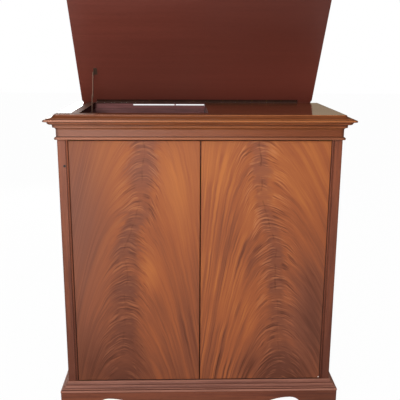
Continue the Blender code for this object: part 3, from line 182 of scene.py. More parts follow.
class CabinetStage(bpy.types.PropertyGroup):
    """Camera and lights."""

    camera_place: bpy.props.FloatVectorProperty(
        name="Camera place",
        description="Where the camera stands",
        default=(-0.0546, -1.98467, 1.1411),
        unit="LENGTH",
    )
    camera_yaw: angle("Camera yaw", "Turn towards +X", 0.0297)
    camera_pitch: angle("Camera pitch", "Tilt downwards", 0.2404)
    camera_roll: angle("Camera roll", "Tilt of the camera's right side upwards", 0.0053)
    camera_lens: number("Lens", "Focal length on a 36 mm frame", 56.364, subtype="DISTANCE_CAMERA")
    key_power: power("Key light", "Power of the large front light", 52.0)
    top_power: power("Top light", "Power of the light above the front", 20.0)
    back_power: power("Back light", "Power of the light behind the cabinet", 30.0)
    side_power: power("Side lights", "Power of the lights at the left and right", 16.0)
    room_light: number("Room light", "Light from all round", 0.20, min=0.0)
    front_dark: number("Front of room", "Brightness behind the camera, in reflections", 0.18, min=0.0)


class Shade:
    """Places nodes in one tree. Each call returns the output socket of the node that it places."""

    def __init__(self, tree):
        self.tree = tree

    def feed(self, socket, value):
        if isinstance(value, bpy.types.NodeSocket):
            self.tree.links.new(value, socket)
        elif socket.type == "RGBA" and len(value) == 3:
            socket.default_value = (*value, 1.0)
        else:
            socket.default_value = value

    def place(self, kind, inputs, output=0, **settings):
        node = self.tree.nodes.new(kind)
        for key, value in settings.items():
            setattr(node, key, value)
        for key, value in inputs.items():
            self.feed(node.inputs[key], value)
        return node.outputs[output]

    def math(self, operation, *values):
        return self.place("ShaderNodeMath", dict(enumerate(values)), operation=operation)

    def times(self, first, second):
        return self.math("MULTIPLY", first, second)

    def plus(self, first, second):
        return self.math("ADD", first, second)

    def less(self, first, second):
        return self.math("SUBTRACT", first, second)

    def larger(self, first, second):
        return self.math("MAXIMUM", first, second)

    def size(self, value):
        """The value without its sign."""
        return self.math("ABSOLUTE", value)

    def scale_add(self, value, factor, added):
        """The value times a factor, plus what is added."""
        return self.math("MULTIPLY_ADD", value, factor, added)

    def vector(self, operation, *values, output=0):
        return self.place("ShaderNodeVectorMath", dict(enumerate(values)), output, operation=operation)

    def smooth(self, value, low, high, start=0.0, end=1.0):
        """start below low, end above high, and a smooth step between."""
        inputs = {0: value, 1: low, 2: high, 3: start, 4: end}
        return self.place("ShaderNodeMapRange", inputs, interpolation_type="SMOOTHSTEP")

    def noise(self, vector, scale, detail=3.0, rough=0.55):
        inputs = {"Vector": vector, "Scale": scale, "Detail": detail, "Roughness": rough}
        return self.place("ShaderNodeTexNoise", inputs)

    def blend(self, share, first, second):
        inputs = {0: share, 6: first, 7: second}
        return self.place("ShaderNodeMix", inputs, 2, data_type="RGBA", clamp_factor=True)

    def stretch(self, vector, x, y, z):
        return self.vector("MULTIPLY", vector, (x, y, z))

    def parts(self, vector):
        node = self.tree.nodes.new("ShaderNodeSeparateXYZ")
        self.feed(node.inputs[0], vector)
        return node.outputs[0], node.outputs[1], node.outputs[2]

    def join(self, x, y, z):
        return self.place("ShaderNodeCombineXYZ", {0: x, 1: y, 2: z})

    def curve(self, value, points):
        """A smooth curve through (input, output) points, both from 0 to 1."""
        node = self.tree.nodes.new("ShaderNodeFloatCurve")
        line = node.mapping.curves[0]
        for index, point in enumerate(points):
            if index < 2:
                line.points[index].location = point
            else:
                line.points.new(*point)
        node.mapping.update()
        self.feed(node.inputs["Value"], value)
        return node.outputs[0]

    def ramp(self, value, stops):
        node = self.tree.nodes.new("ShaderNodeValToRGB")
        elements = node.color_ramp.elements
        while len(elements) < len(stops):
            elements.new(1.0)
        for element, (place, shade) in zip(elements, stops):
            element.position = place
            element.color = (*shade, 1.0)
        self.feed(node.inputs[0], value)
        return node.outputs[0]

    def group(self, tree, **inputs):
        """Places a node group and returns its outputs by name."""
        node = self.tree.nodes.new("ShaderNodeGroup")
        node.node_tree = tree
        for key, value in inputs.items():
            self.feed(node.inputs[key.replace("_", " ").capitalize()], value)
        return {socket.name: socket for socket in node.outputs}


def node_group(name, inputs, outputs, fill):
    """Makes a node group once. fill takes a Shade and the inputs, and returns the outputs, all by name."""
    tree = bpy.data.node_groups.get(GROUP_PREFIX + name)
    if tree:
        return tree
    tree = bpy.data.node_groups.new(GROUP_PREFIX + name, "ShaderNodeTree")
    for label, kind, value in inputs:
        socket = tree.interface.new_socket(name=label, in_out="INPUT", socket_type=kind)
        if value is not None:
            socket.default_value = value
    for label in outputs:
        tree.interface.new_socket(name=label, in_out="OUTPUT", socket_type=VALUE)
    entry = tree.nodes.new("NodeGroupInput")
    leave = tree.nodes.new("NodeGroupOutput")
    found = fill(Shade(tree), {label: entry.outputs[label] for label, kind, value in inputs})
    for label in outputs:
        tree.links.new(found[label], leave.inputs[label])
    return tree


def grain_group():
    """Straight grain along Z: colour bands, short dark pores and broad clouds, from stretched noise."""

    def fill(shade, given):
        vector = given["Vector"]
        sway = shade.noise(shade.stretch(vector, 7.0, 7.0, 2.2), 1.0, 2.0)
        shift = shade.times(shade.less(sway, 0.5), given["Sway"])
        bent = shade.vector("ADD", vector, shade.join(shift, shift, 0.0))
        across = shade.math("DIVIDE", 1.0, given["Band"])
        scaled = shade.vector("MULTIPLY", bent, shade.join(across, across, shade.times(across, 0.045)))
        bands = shade.noise(scaled, 1.0, 4.0, 0.6)
        lines = shade.noise(shade.stretch(bent, 520.0, 520.0, 9.0), 1.0, 2.0)
        both = shade.plus(shade.times(bands, 0.72), shade.times(lines, 0.28))
        pores = shade.noise(shade.stretch(bent, 1500.0, 1500.0, 62.0), 1.0, 1.0)
        clouds = shade.noise(shade.stretch(vector, 5.0, 5.0, 2.6), 1.0, 2.0)
        return {
            "Tone": shade.smooth(both, 0.30, 0.70),
            "Pores": shade.smooth(pores, 0.58, 0.72),
            "Clouds": shade.smooth(clouds, 0.25, 0.75),
        }

    inputs = [("Vector", VECTOR, None), ("Band", VALUE, 0.012), ("Sway", VALUE, 0.012)]
    return node_group("straight grain", inputs, ["Tone", "Pores", "Clouds"], fill)


def edge_group():
    """Mask along a box's edges for their wearing and painted shade, by the middle one of the three
    distances to its faces.
    """

    def fill(shade, given):
        below = shade.vector("SUBTRACT", given["Vector"], given["Low"])
        above = shade.vector("SUBTRACT", given["High"], given["Vector"])
        a, b, c = shade.parts(shade.vector("MINIMUM", below, above))
        inner = shade.math("MINIMUM", shade.larger(a, b), c)
        middle = shade.larger(shade.math("MINIMUM", a, b), inner)
        rough = shade.noise(given["Vector"], 55.0, 3.0)
        reach = shade.times(given["Width"], shade.times(rough, 2.0))
        return {"Wear": shade.smooth(middle, 0.0, reach, 1.0, 0.0)}

    vectors = [(label, VECTOR, None) for label in ("Vector", "Low", "High")]
    return node_group("edge wear", [*vectors, ("Width", VALUE, 0.004)], ["Wear"], fill)


def figure_group():
    """Crotch figure about a spine, along arches z + dx^2 (1 + steepness dx^2) / (2 bend)."""

    def fill(shade, given):
        across, up = given["Across"], given["Up"]
        right = shade.math("GREATER_THAN", across, 0.0)
        left = shade.less(1.0, right)
        bend = shade.scale_add(right, given["Right bend"], shade.times(left, given["Left bend"]))
        flat = shade.join(across, given["Seed"], up)
        wobble = shade.less(shade.noise(flat, 16.0, 2.0), 0.5)
        square = shade.times(across, across)
        steep = shade.scale_add(shade.times(left, given["Left steepness"]), square, 1.0)
        lift = shade.math("DIVIDE", shade.times(square, steep), shade.times(bend, 2.0))
        arch = shade.scale_add(wobble, 0.022, shade.plus(up, lift))

        def drawn(across_scale, arch_scale, *detail):
            """Noise drawn out along the arches."""
            place = shade.times(across, across_scale), given["Seed"], shade.times(arch, arch_scale)
            return shade.noise(shade.join(*place), 1.0, *detail)

        return {
            "Strokes": shade.smooth(drawn(14.0, 180.0, 2.0, 0.6), 0.30, 0.70),
            "Streaks": shade.smooth(drawn(7.0, 36.0, 3.0, 0.6), 0.30, 0.70),
            "Bands": shade.smooth(drawn(5.0, 11.0, 2.0), 0.28, 0.72),
            "Fibres": drawn(30.0, 300.0, 2.0),
            "Breaks": shade.smooth(drawn(24.0, 26.0, 2.0), 0.38, 0.60),
            "Blots": shade.noise(shade.join(given["Seed"], 0.0, shade.times(up, 13.0)), 1.0, 3.0),
        }

    inputs = [
        ("Across", VALUE, 0.0),
        ("Up", VALUE, 0.0),
        ("Left bend", VALUE, 0.045),
        ("Right bend", VALUE, 0.045),
        ("Left steepness", VALUE, 0.0),
        ("Seed", VALUE, 0.0),
    ]
    outputs = ["Strokes", "Streaks", "Bands", "Fibres", "Breaks", "Blots"]
    return node_group("crotch figure", inputs, outputs, fill)


def patch_group():
    """A soft oval patch: exp(-((x - middle x) / half width)^2 - ((z - middle z) / half height)^2)."""

    def fill(shade, given):
        away = shade.vector("SUBTRACT", given["Vector"], given["Middle"])
        x, y, z = shade.parts(shade.vector("DIVIDE", away, given["Reach"]))
        square = shade.scale_add(x, x, shade.times(z, z))
        return {"Patch": shade.math("POWER", math.e, shade.times(square, -1.0))}

    inputs = [("Vector", VECTOR, None), ("Middle", VECTOR, None), ("Reach", VECTOR, (0.1, 1.0, 0.1))]
    return node_group("soft patch", inputs, ["Patch"], fill)


def speckle_group():
    """Fine speckles and broad stains for metal, board, rubber and paint."""

    def fill(shade, given):
        fine = shade.noise(given["Vector"], given["Fineness"], 4.0, 0.65)
        broad = shade.noise(given["Vector"], 9.0, 3.0)
        return {"Speckle": shade.smooth(fine, 0.30, 0.70), "Stain": shade.smooth(broad, 0.35, 0.70)}

    inputs = [("Vector", VECTOR, None), ("Fineness", VALUE, 400.0)]
    return node_group("speckle", inputs, ["Speckle", "Stain"], fill)


def new_material(name):
    """A material with one Principled BSDF, and a Shade and the object's own coordinates to work with."""
    material = bpy.data.materials.new(name)
    material.use_nodes = True
    shade = Shade(material.node_tree)
    surface = material.node_tree.nodes["Principled BSDF"]
    place = material.node_tree.nodes.new("ShaderNodeTexCoord").outputs["Object"]
    return material, shade, surface, place


def bump(shade, surface, height, strength, distance):
    """Roughens a surface by a height that goes in and out by a distance."""
    inputs = {"Height": height, "Strength": strength, "Distance": distance}
    shade.feed(surface.inputs["Normal"], shade.place("ShaderNodeBump", inputs))


def grain_direction(shade, place, axis, offset):
    """The place turned so that the grain along the given axis lies along Z, moved by an offset."""
    x, y, z = shade.parts(place)
    swapped = {"X": (y, z, x), "Y": (x, z, y), "Z": (x, y, z)}[axis]
    return shade.vector("ADD", shade.join(*swapped), (offset, offset * 0.7, offset * 1.3))


def wood(
    name,
    node,
    dark,
    light,
    axis,
    band,
    gloss,
    wear,
    edge_colour=None,
    offset=0.0,
    finish=None,
    polish=0.25,
    pore=0.0004,
):
    """Straight-grained wood: a tone between two colours, darkened by pores and along the edges, by wearing
    and, on the lid, painted shade.
    """
    material, shade, surface, place = new_material(name)
    low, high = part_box(node)
    grain = shade.group(grain_group(), vector=grain_direction(shade, place, axis, offset), band=band)
    edge = shade.group(edge_group(), vector=place, low=low, high=high)
    ground = shade.blend(grain["Tone"], dark, light)
    clouded = shade.blend(shade.times(grain["Clouds"], 0.35), ground, dark)
    pored = shade.blend(shade.times(grain["Pores"], 0.45), clouded, tuple(c * 0.35 for c in dark))
    marked = edge_colour or tuple(c * 0.45 for c in dark)
    base = shade.blend(shade.times(edge["Wear"], wear), pored, marked)
    if finish:
        base = finish(shade, place, base)
    shade.feed(surface.inputs["Base Color"], base)
    shine = shade.scale_add(grain["Clouds"], 0.10, gloss - 0.05)
    shade.feed(surface.inputs["Roughness"], shade.scale_add(edge["Wear"], 0.15, shine))
    surface.inputs["Specular IOR Level"].default_value = polish
    bump(shade, surface, shade.less(1.0, grain["Pores"]), 0.12, pore)
    return material


def metal(name, clean, tarnish, roughness=0.30, fineness=300.0, metallic=1.0):
    """Metal whose colour runs to tarnish in stains, with fine speckled roughness."""
    material, shade, surface, place = new_material(name)
    marks = shade.group(speckle_group(), vector=place, fineness=fineness)
    share = shade.scale_add(marks["Speckle"], 0.25, shade.times(marks["Stain"], 0.55))
    shade.feed(surface.inputs["Base Color"], shade.blend(share, clean, tarnish))
    shade.feed(surface.inputs["Roughness"], shade.scale_add(share, 0.25, roughness))
    surface.inputs["Metallic"].default_value = metallic
    bump(shade, surface, marks["Speckle"], 0.05, 0.0002)
    return material


def coating(name, ground, shadow, roughness, fineness, depth, share=0.5):
    """Paint, rubber, board or moulding: speckles between two tints, with a bump of the same speckles."""
    material, shade, surface, place = new_material(name)
    marks = shade.group(speckle_group(), vector=place, fineness=fineness)
    mixed = shade.scale_add(marks["Speckle"], share, shade.times(marks["Stain"], share * 0.6))
    shade.feed(surface.inputs["Base Color"], shade.blend(mixed, ground, shadow))
    shade.feed(surface.inputs["Roughness"], shade.scale_add(marks["Stain"], 0.12, roughness))
    bump(shade, surface, marks["Speckle"], 0.25, depth)
    return material


def dress(node, material):
    """Gives a solid of the cabinet its material."""
    slots = frame["nodes"][node].data.materials
    slots.clear()
    slots.append(material)


def board(kind, node, word, axis, **grain):
    """Gives a solid a wood of its own, named for its kind and node, in the tones of the word."""
    made = wood(f"{kind} {node}", node, *tones(word), axis, **grain)
    dress(node, made)
    return made


def grid_faces(rows, columns, wrap_rows=False, wrap_columns=False):
    """Corner numbers of the quads of a grid of points, rows by columns."""
    i = np.arange(rows if wrap_rows else rows - 1)[:, None]
    j = np.arange(columns if wrap_columns else columns - 1)[None, :]
    down = (i + 1) % rows
    along = (j + 1) % columns
    corners = [i * columns + j, i * columns + along, down * columns + along, down * columns + j]
    return np.stack([np.broadcast_to(c, (i.size, j.size)) for c in corners], -1).reshape(-1, 4)


def capped(rows, columns):
    """Faces of rows of points joined to a tube, with one face over each end."""
    count = rows * columns
    faces = [tuple(f) for f in grid_faces(rows, columns, wrap_columns=True)]
    return faces + [tuple(range(columns)), tuple(range(count - 1, count - columns - 1, -1))]


def piece(name, points, faces, body, slot, material):
    """A smooth mesh piece of the cabinet, with its place in its mesh, that rides on a body."""
    mesh = bpy.data.meshes.new(name)
    mesh.from_pydata(np.asarray(points).reshape(-1, 3).tolist(), [], [tuple(f) for f in faces])
    mesh.polygons.foreach_set("use_smooth", np.ones(len(mesh.polygons), bool))
    mesh.materials.append(material)
    made = bpy.data.objects.new(name, mesh)
    bpy.context.scene.collection.objects.link(made)
    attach(made, body)
    return made


def repeat(points, faces, places, turns):
    """Copies of one shape: each point is place + point times the copy's three axes."""
    moved = np.einsum("pk,nkd->npd", points, turns) + np.asarray(places)[:, None, :]
    count = len(points)
    shifted = [[tuple(int(c) + n * count for c in face) for face in faces] for n in range(len(places))]
    return moved.reshape(-1, 3), [face for group in shifted for face in group]


def turned(profile, steps, flute=None):
    """A profile (radius, height) turned about Z: (r cos t, r sin t, h). flute scales r by t."""
    profile = np.asarray(profile, float)
    angles = np.linspace(0.0, 2.0 * np.pi, steps, endpoint=False)
    rings = profile[1:-1]
    radius = rings[:, :1] * (np.ones((1, steps)) if flute is None else flute(rings, angles))
    heights = np.broadcast_to(rings[:, 1:], radius.shape)
    around = np.stack([radius * np.cos(angles), radius * np.sin(angles), heights], -1).reshape(-1, 3)
    points = np.vstack([around, [[0.0, 0.0, profile[0, 1]], [0.0, 0.0, profile[-1, 1]]]])
    first, last = len(points) - 2, len(points) - 1
    k = np.arange(steps)
    following = (k + 1) % steps
    bottom = (len(rings) - 1) * steps
    faces = [tuple(f) for f in grid_faces(len(rings), steps, wrap_columns=True)]
    faces += [tuple(f) for f in np.stack([np.full(steps, first), following, k], -1)]
    faces += [tuple(f) for f in np.stack([np.full(steps, last), bottom + k, bottom + following], -1)]
    return points, faces


def arc(centre, radii, start, end, steps=16):
    """Points (x + a cos t, z + b sin t) with t from start to end in degrees."""
    t = np.radians(np.linspace(start, end, steps))
    return np.stack([centre[0] + radii[0] * np.cos(t), centre[1] + radii[1] * np.sin(t)], -1)


def resample(profile, step):
    """A closed profile with its points set evenly along it."""
    closed = np.vstack([profile, profile[:1]])
    along = np.concatenate([[0.0], np.cumsum(np.linalg.norm(np.diff(closed, axis=0), axis=1))])
    places = np.linspace(0.0, along[-1], int(along[-1] / step), endpoint=False)
    return np.stack([np.interp(places, along, closed[:, 0]), np.interp(places, along, closed[:, 1])], -1)


def turn_along(profile, reach):
    """Turning of an even, clockwise profile in radians over a reach: above 0 on edges, below in hollows."""
    edges = np.roll(profile, -1, axis=0) - profile
    angles = np.arctan2(edges[:, 1], edges[:, 0])
    turn = -np.angle(np.exp(1j * (angles - np.roll(angles, 1))))
    step = np.linalg.norm(edges, axis=1).mean()
    shifts = np.arange(-int(2 * reach / step), int(2 * reach / step) + 1)
    weights = np.exp(-((shifts * step / reach) ** 2))
    return sum(weight * np.roll(turn, shift) for shift, weight in zip(shifts, weights))


def tube(along, half_width, half_height, middle):
    """Squared ellipses |x / w|^p + |z / h|^p = 1 set along -Y from a middle point, closed at the ends."""
    steps, exponent = 28, 3.0
    angles = np.linspace(0.0, 2.0 * np.pi, steps, endpoint=False)
    x = np.sign(np.cos(angles)) * np.abs(np.cos(angles)) ** (2.0 / exponent)
    z = np.sign(np.sin(angles)) * np.abs(np.sin(angles)) ** (2.0 / exponent)
    y = np.broadcast_to(-np.asarray(along)[:, None], (len(along), steps))
    rings = np.stack([np.outer(half_width, x), y, np.outer(half_height, z)], -1) + np.asarray(middle)
    return rings.reshape(-1, 3), capped(len(along), steps)


def turn_outward(mesh):
    """Turns every face of a closed mesh outwards."""
    work = bmesh.new()
    work.from_mesh(mesh)
    bmesh.ops.recalc_face_normals(work, faces=work.faces)
    work.to_mesh(mesh)
    work.free()


def slotted_head(radius, height):
    """A domed screw head: a square grid as a disc, z = h sqrt(1 - 0.8 r^2), sunk along its slot."""
    s = np.array([-1.0, -0.78, -0.48, -0.17, -0.15, 0.15, 0.17, 0.48, 0.78, 1.0])
    a, b = np.meshgrid(s, s, indexing="ij")
    x = a * np.sqrt(1.0 - b * b / 2.0)
    y = b * np.sqrt(1.0 - a * a / 2.0)
    dome = height * np.sqrt(np.maximum(0.0, 1.0 - 0.8 * (x * x + y * y)))
    z = np.where(np.abs(a) < 0.16, dome - 0.55 * height, dome)
    top = np.stack([x * radius, y * radius, z], -1).reshape(-1, 3)
    under = top.copy()
    under[:, 2] = -0.3 * height
    count = len(s)
    faces = grid_faces(count, count)
    index = np.arange(count * count).reshape(count, count)
    rim = np.concatenate([index[0, :-1], index[:-1, -1], index[-1, :0:-1], index[:0:-1, 0]])
    after = np.roll(rim, -1)
    below = count * count
    walls = np.stack([rim, rim + below, after + below, after], -1)
    bodies = np.vstack([faces[:, ::-1], faces + below, walls])
    return np.vstack([top, under]), [tuple(f) for f in bodies]


def axes_from(normal, spin):
    """Axes for copies of a shape whose own Z lies along normal, turned about it by the spin angles."""
    normal = np.asarray(normal, float) / np.linalg.norm(normal)
    side = np.cross(normal, (0.0, 0.0, 1.0) if abs(normal[2]) < 0.9 else (1.0, 0.0, 0.0))
    side /= np.linalg.norm(side)
    other = np.cross(normal, side)
    spin = np.asarray(spin, float)[:, None]
    first = np.cos(spin) * side + np.sin(spin) * other
    second = -np.sin(spin) * side + np.cos(spin) * other
    return np.stack([first, second, np.broadcast_to(normal, first.shape)], 1)


def stand(shape, place, axis):
    """One shape, given as points and faces, moved to a place with its own Z along an axis."""
    return repeat(*shape, [tuple(place)], axes_from(axis, [0.0]))


def screws(name, places, normal, radius, body, slot, material):
    """A row of slotted screw heads standing on a surface, each slot turned its own way."""
    points, faces = slotted_head(radius, radius * 0.42)
    spin = 2.4 * np.arange(len(places))
    return piece(name, *repeat(points, faces, places, axes_from(normal, spin)), body, slot, material)


def joint_place(name):
    """The point that a joint of the cabinet turns about."""
    return np.array(next(joint for joint in frame["joints"] if joint["name"] == name)["pos_m"])


def lid_axes():
    """Directions up the open lid from its hinge, and out of its inner face."""
    along = np.array([0.0, -math.cos(LID_ANGLE), math.sin(LID_ANGLE)])
    return along, np.array([0.0, -math.sin(LID_ANGLE), -math.cos(LID_ANGLE)])


def tint(name, factor=1.0):
    """One of the cabinet's colours, made lighter or darker by a factor."""
    return tuple(factor * c for c in getattr(bpy.context.scene.cabinet_colours, name))


def tones(word):
    """The dark and the light streaks of one of the woods."""
    return tint(f"{word}_dark"), tint(f"{word}_light")


def sizes():
    """The sizes of the fittings."""
    return bpy.context.scene.cabinet_sizes


class CABINET_OT_case(bpy.types.Operator):
    """Finishes the sides, plinth and inner boards in mahogany"""

    bl_idname = "cabinet.case"
    bl_label = "Finish Case"

    nail_x, nail_z = -0.3938, 0.803

    def execute(self, context):
        for index, (word, mark) in enumerate((("left", self.nail_hole), ("right", self.weathered))):
            grain = {"band": 0.010, "gloss": 0.38, "wear": 0.5, "offset": 1.7 * index}
            board("Mahogany", f"side_{word}", "case", "Z", **grain, finish=mark)
        for index, (word, axis) in enumerate((("front", "X"), ("left", "Y"), ("right", "Y"))):
            grain = {"band": 0.014, "gloss": 0.40, "wear": 0.5, "offset": 3.1 + index}
            board("Mahogany", f"plinth_{word}", "case", axis, **grain, finish=self.darker_right_end)
        lined = {
            "bottom_board": "X",
            "partition": "Z",
            "front_rail": "X",
            "record_shelf": "X",
            "record_divider": "Z",
        }
        for index, (node, axis) in enumerate(lined.items()):
            grain = {"band": 0.016, "gloss": 0.50, "wear": 0.4, "offset": 9.0 + 0.8 * index}
            board("Lining", node, "lining", axis, **grain)
        # The well's left and rear walls carry painted shade.
        boards = {
            "well_wall_left": ("Y", self.shaded),
            "well_wall_front": ("X", None),
            "well_wall_rear": ("X", self.corner_shade),
            "well_corner_block": ("Z", None),
        }
        for index, (node, (axis, painted_shade)) in enumerate(boards.items()):
            grain = {"band": 0.016, "gloss": 0.50, "wear": 0.4, "offset": 15.0 + 0.8 * index}
            # The well's boards take the lightened well colours, which are painted light.
            board("Well", node, "well", axis, **grain, finish=painted_shade)
        for index, word in enumerate(("left", "right")):
            grain = {"band": 0.018, "gloss": 0.70, "wear": 0.3, "offset": 20.0 + index}
            board("Bare wood", f"base_runner_{word}", "raw", "Y", **grain)
        return {"FINISHED"}

    @staticmethod
    def darker_right_end(shade, place, base):
        """The plinth is darker at its right end."""
        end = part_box("plinth_front")[1].x
        dark = shade.smooth(shade.parts(place)[0], 0.40 * end, 0.80 * end, 0.0, 0.45)
        return shade.blend(dark, base, tint("case_dark", 0.55))

    @staticmethod
    def corner_shade(shade, place, base):
        """Painted shade that deepens downwards in the well's left rear corner."""
        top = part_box("well_wall_rear")[1].z
        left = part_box("well_wall_left")[1].x
        x, y, z = shade.parts(place)
        near = shade.smooth(x, left + 0.012, left + 0.060, 1.0, 0.0)
        deep = shade.smooth(z, top - 0.024, top + 0.004, 0.75, 0.0)
        return shade.blend(shade.times(near, deep), base, tint("lining_dark", 0.3))

    @staticmethod
    def shaded(shade, place, base):
        """Painted shade: the well's left wall is darkened, as it stands out of the light."""
        return shade.blend(0.65, base, tint("lining_dark", 0.35))

    @staticmethod
    def weathered(shade, place, base):
        """The sides have bleached towards the top, the left one most, and darkened towards the floor."""
        low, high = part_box("side_left")
        x, y, z = shade.parts(place)
        sunlit = shade.smooth(x, low.x, -low.x, 0.45, 0.14)
        bleached = shade.times(sunlit, shade.smooth(z, low.z + 0.35, high.z))
        base = shade.blend(bleached, base, tint("case_bleached"))
        return shade.blend(shade.smooth(z, low.z, low.z + 0.40, 0.65, 0.0), base, tint("case_dark", 0.8))

    @classmethod
    def nail_hole(cls, shade, place, base):
        """A small dark nail hole in the left post."""
        base = cls.weathered(shade, place, base)
        hole = (cls.nail_x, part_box("side_left")[0].y, cls.nail_z)
        away = shade.vector("DISTANCE", place, hole, output=1)
        return shade.blend(shade.smooth(away, 0.0030, 0.0046, 1.0, 0.0), base, (0.004, 0.003, 0.002))


class CABINET_OT_mouldings(bpy.types.Operator):
    """Runs the cornice and the base moulding round the case"""

    bl_idname = "cabinet.mouldings"
    bl_label = "Run Mouldings"

    def execute(self, context):
        self.runs("cornice", self.cornice, sizes().cornice_reach, "moulding", 0.34, self.faded)
        self.runs("base_moulding", self.base, sizes().base_reach, "base", 0.40, self.rubbed_base)
        return {"FINISHED"}

    @staticmethod
    def cornice(low, high, depth):
        """(reach, z) of the cornice: cove, nose, ovolo, cove, frieze and bead, then its back."""
        edge, nose, frieze = 0.0059, sizes().cornice_reach, sizes().frieze_reach
        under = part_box("top_board")[0].z - 0.0003
        low -= sizes().bead_seat
        back = 0.0002 - depth
        return np.vstack([
            [(edge, high)],
            arc((nose - 0.0105, high - 0.0005), (nose - 0.0115 - edge, 0.0090), 180, 265),
            [(nose - 0.0096, high - 0.0094), (nose - 0.0084, high - 0.0102)],
            [(nose - 0.0080, high - 0.0116)],
            arc((nose - 0.0028, high - 0.0156), (0.0028, 0.0030), 90, -90),
            arc((0.012, high - 0.0205), (nose - 0.022, 0.0075), 0, -90),
            [(0.0105, high - 0.0285), (0.0098, low + 0.0370)],
            arc((0.0095, low + 0.0300), (0.0095 - frieze, 0.0065), 90, 180),
            [(frieze, low + 0.0092)],
            arc((0.0035, low + 0.0048), (0.0035, 0.0040), 90, -90),
            [(back, low + 0.0008), (back, under), (edge, under)],
        ])

    @staticmethod
    def base(low, high, depth):
        """(reach, z) of the base moulding: top bead, two hollows with an arris between, and nose."""
        reach = sizes().base_reach
        back = 0.0001 - depth
        return np.vstack([
            [(back, high)],
            arc((0.0010, high - 0.0040), (0.0040, 0.0040), 90, 0),
            [(0.0050, high - 0.0066)],
            arc((0.0110, high - 0.0070), (0.0055, 0.0042), 180, 270),
            [(0.0114, high - 0.0114), (0.0118, high - 0.0138)],
            arc((reach - 0.0055, high - 0.0142), (0.0054, 0.0056), 180, 270),
            [(reach - 0.0052, low + 0.0090), (reach - 0.0050, low + 0.0058)],
            arc((reach - 0.0015, low + 0.0040), (0.0015, 0.0016), 90, 0),
            [(reach, low), (back, low)],
        ])

    def runs(self, word, shape, reach, wood_word, gloss, finish):
        """Front and side runs of a profile, mitred at the corners: x = half + out, y = front - out."""
        low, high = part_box(f"{word}_front")
        side_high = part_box(f"{word}_left")[1]
        half, front, rear = high.x - reach, low.y + reach, side_high.y
        joint = 0.0001
        for index, (end, axis) in enumerate((("front", "X"), ("left", "Y"), ("right", "Y"))):
            node = f"{word}_{end}"
            depth = high.y - front if end == "front" else half + side_high.x
            profile = resample(shape(low.z, high.z, depth), sizes().profile_step)
            out, up = profile[:, 0], profile[:, 1]
            if end == "front":
                first = np.stack([-(half + out) + joint, front - out, up], -1)
                second = first * (-1.0, 1.0, 1.0)
            else:
                side = -1.0 if end == "left" else 1.0
                first = np.stack([side * (half + out), front - out + joint, up], -1)
                second = np.stack([side * (half + out), np.full(len(out), rear), up], -1)
            grain = {"band": 0.010, "gloss": gloss, "wear": 0.0, "offset": index, "polish": 0.15}
            made_of = board("Moulding", node, wood_word, axis, **grain, finish=finish)
            points, faces = np.stack([first, second]), capped(2, len(out))
            made = piece(f"{node}_run", points, faces, "cabinet", "moulding", made_of)
            turn_outward(made.data)
            made.data.set_sharp_from_angle(angle=math.radians(50))
            # The profile's turning drives the mouldings' painted highlights and shade.
            self.mark(made.data, np.tile(turn_along(profile, 0.0016), 2))
            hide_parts(node)

    @staticmethod
    def mark(mesh, rub):
        """Puts the turning on the corners of the run's long faces and none on its ends."""
        corner_points = np.zeros(len(mesh.loops), int)
        mesh.loops.foreach_get("vertex_index", corner_points)
        totals = np.zeros(len(mesh.polygons), int)
        mesh.polygons.foreach_get("loop_total", totals)
        values = np.where(np.repeat(totals, totals) > 4, 0.0, rub[corner_points])
        mesh.attributes.new("rub", "FLOAT", "CORNER").data.foreach_set("value", values)

    @classmethod
    def rubbed_base(cls, shade, place, base):
        """The base's painted edge highlights are paler than the cornice's."""
        return cls.rubbed(shade, place, base, tint("rubbed_base"))

    @staticmethod
    def rubbed(shade, place, base, bright=None):
        """Painted highlights on the edges and painted shade in the recesses, from the profile's turning."""
        rub = shade.place("ShaderNodeAttribute", {}, "Fac", attribute_name="rub")
        # Painted highlight on the edges.
        base = shade.blend(shade.smooth(rub, 0.25, 1.10, 0.0, 0.70), base, bright or tint("rubbed"))
        # Painted shade in the recesses.
        return shade.blend(shade.smooth(rub, -0.20, -0.90, 0.0, 0.75), base, tint("hollow"))

    @classmethod
    def faded(cls, shade, place, base):
        """Frieze faded and all below the cove bleached to the left; painted shade in the upper cove, in the
        recesses and at the mitres; painted highlights on the edges.
        """
        x, y, z = shade.parts(place)
        low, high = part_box("cornice_front")
        lower = shade.smooth(z, high.z - 0.0125, high.z - 0.0110, 1.0, 0.0)
        pale = shade.times(lower, shade.smooth(x, low.x, -0.05, 0.32, 0.0))
        base = shade.blend(pale, base, tint("bleached"))
        # Painted shade in the upper cove, deepest from the left end to the middle.
        cove = shade.smooth(lower, 0.0, 1.0, 1.0, 0.0)
        cove_shade = shade.times(cove, shade.smooth(x, 0.05, 0.30, 0.60, 0.10))
        base = shade.blend(cove_shade, base, tint("moulding_dark"))
        above = shade.smooth(z, low.z + 0.008, low.z + 0.010)
        frieze = shade.times(above, shade.smooth(z, low.z + 0.026, low.z + 0.030, 1.0, 0.0))
        base = shade.blend(shade.times(frieze, 0.6), base, tint("frieze"))
        pale = shade.times(frieze, shade.smooth(x, low.x, 0.05, 0.40, 0.0))
        base = shade.blend(pale, base, tint("bleached"))
        deep = shade.times(frieze, shade.smooth(x, -0.05, high.x, 0.0, 0.35))
        base = shade.blend(deep, base, tint("case_dark"))
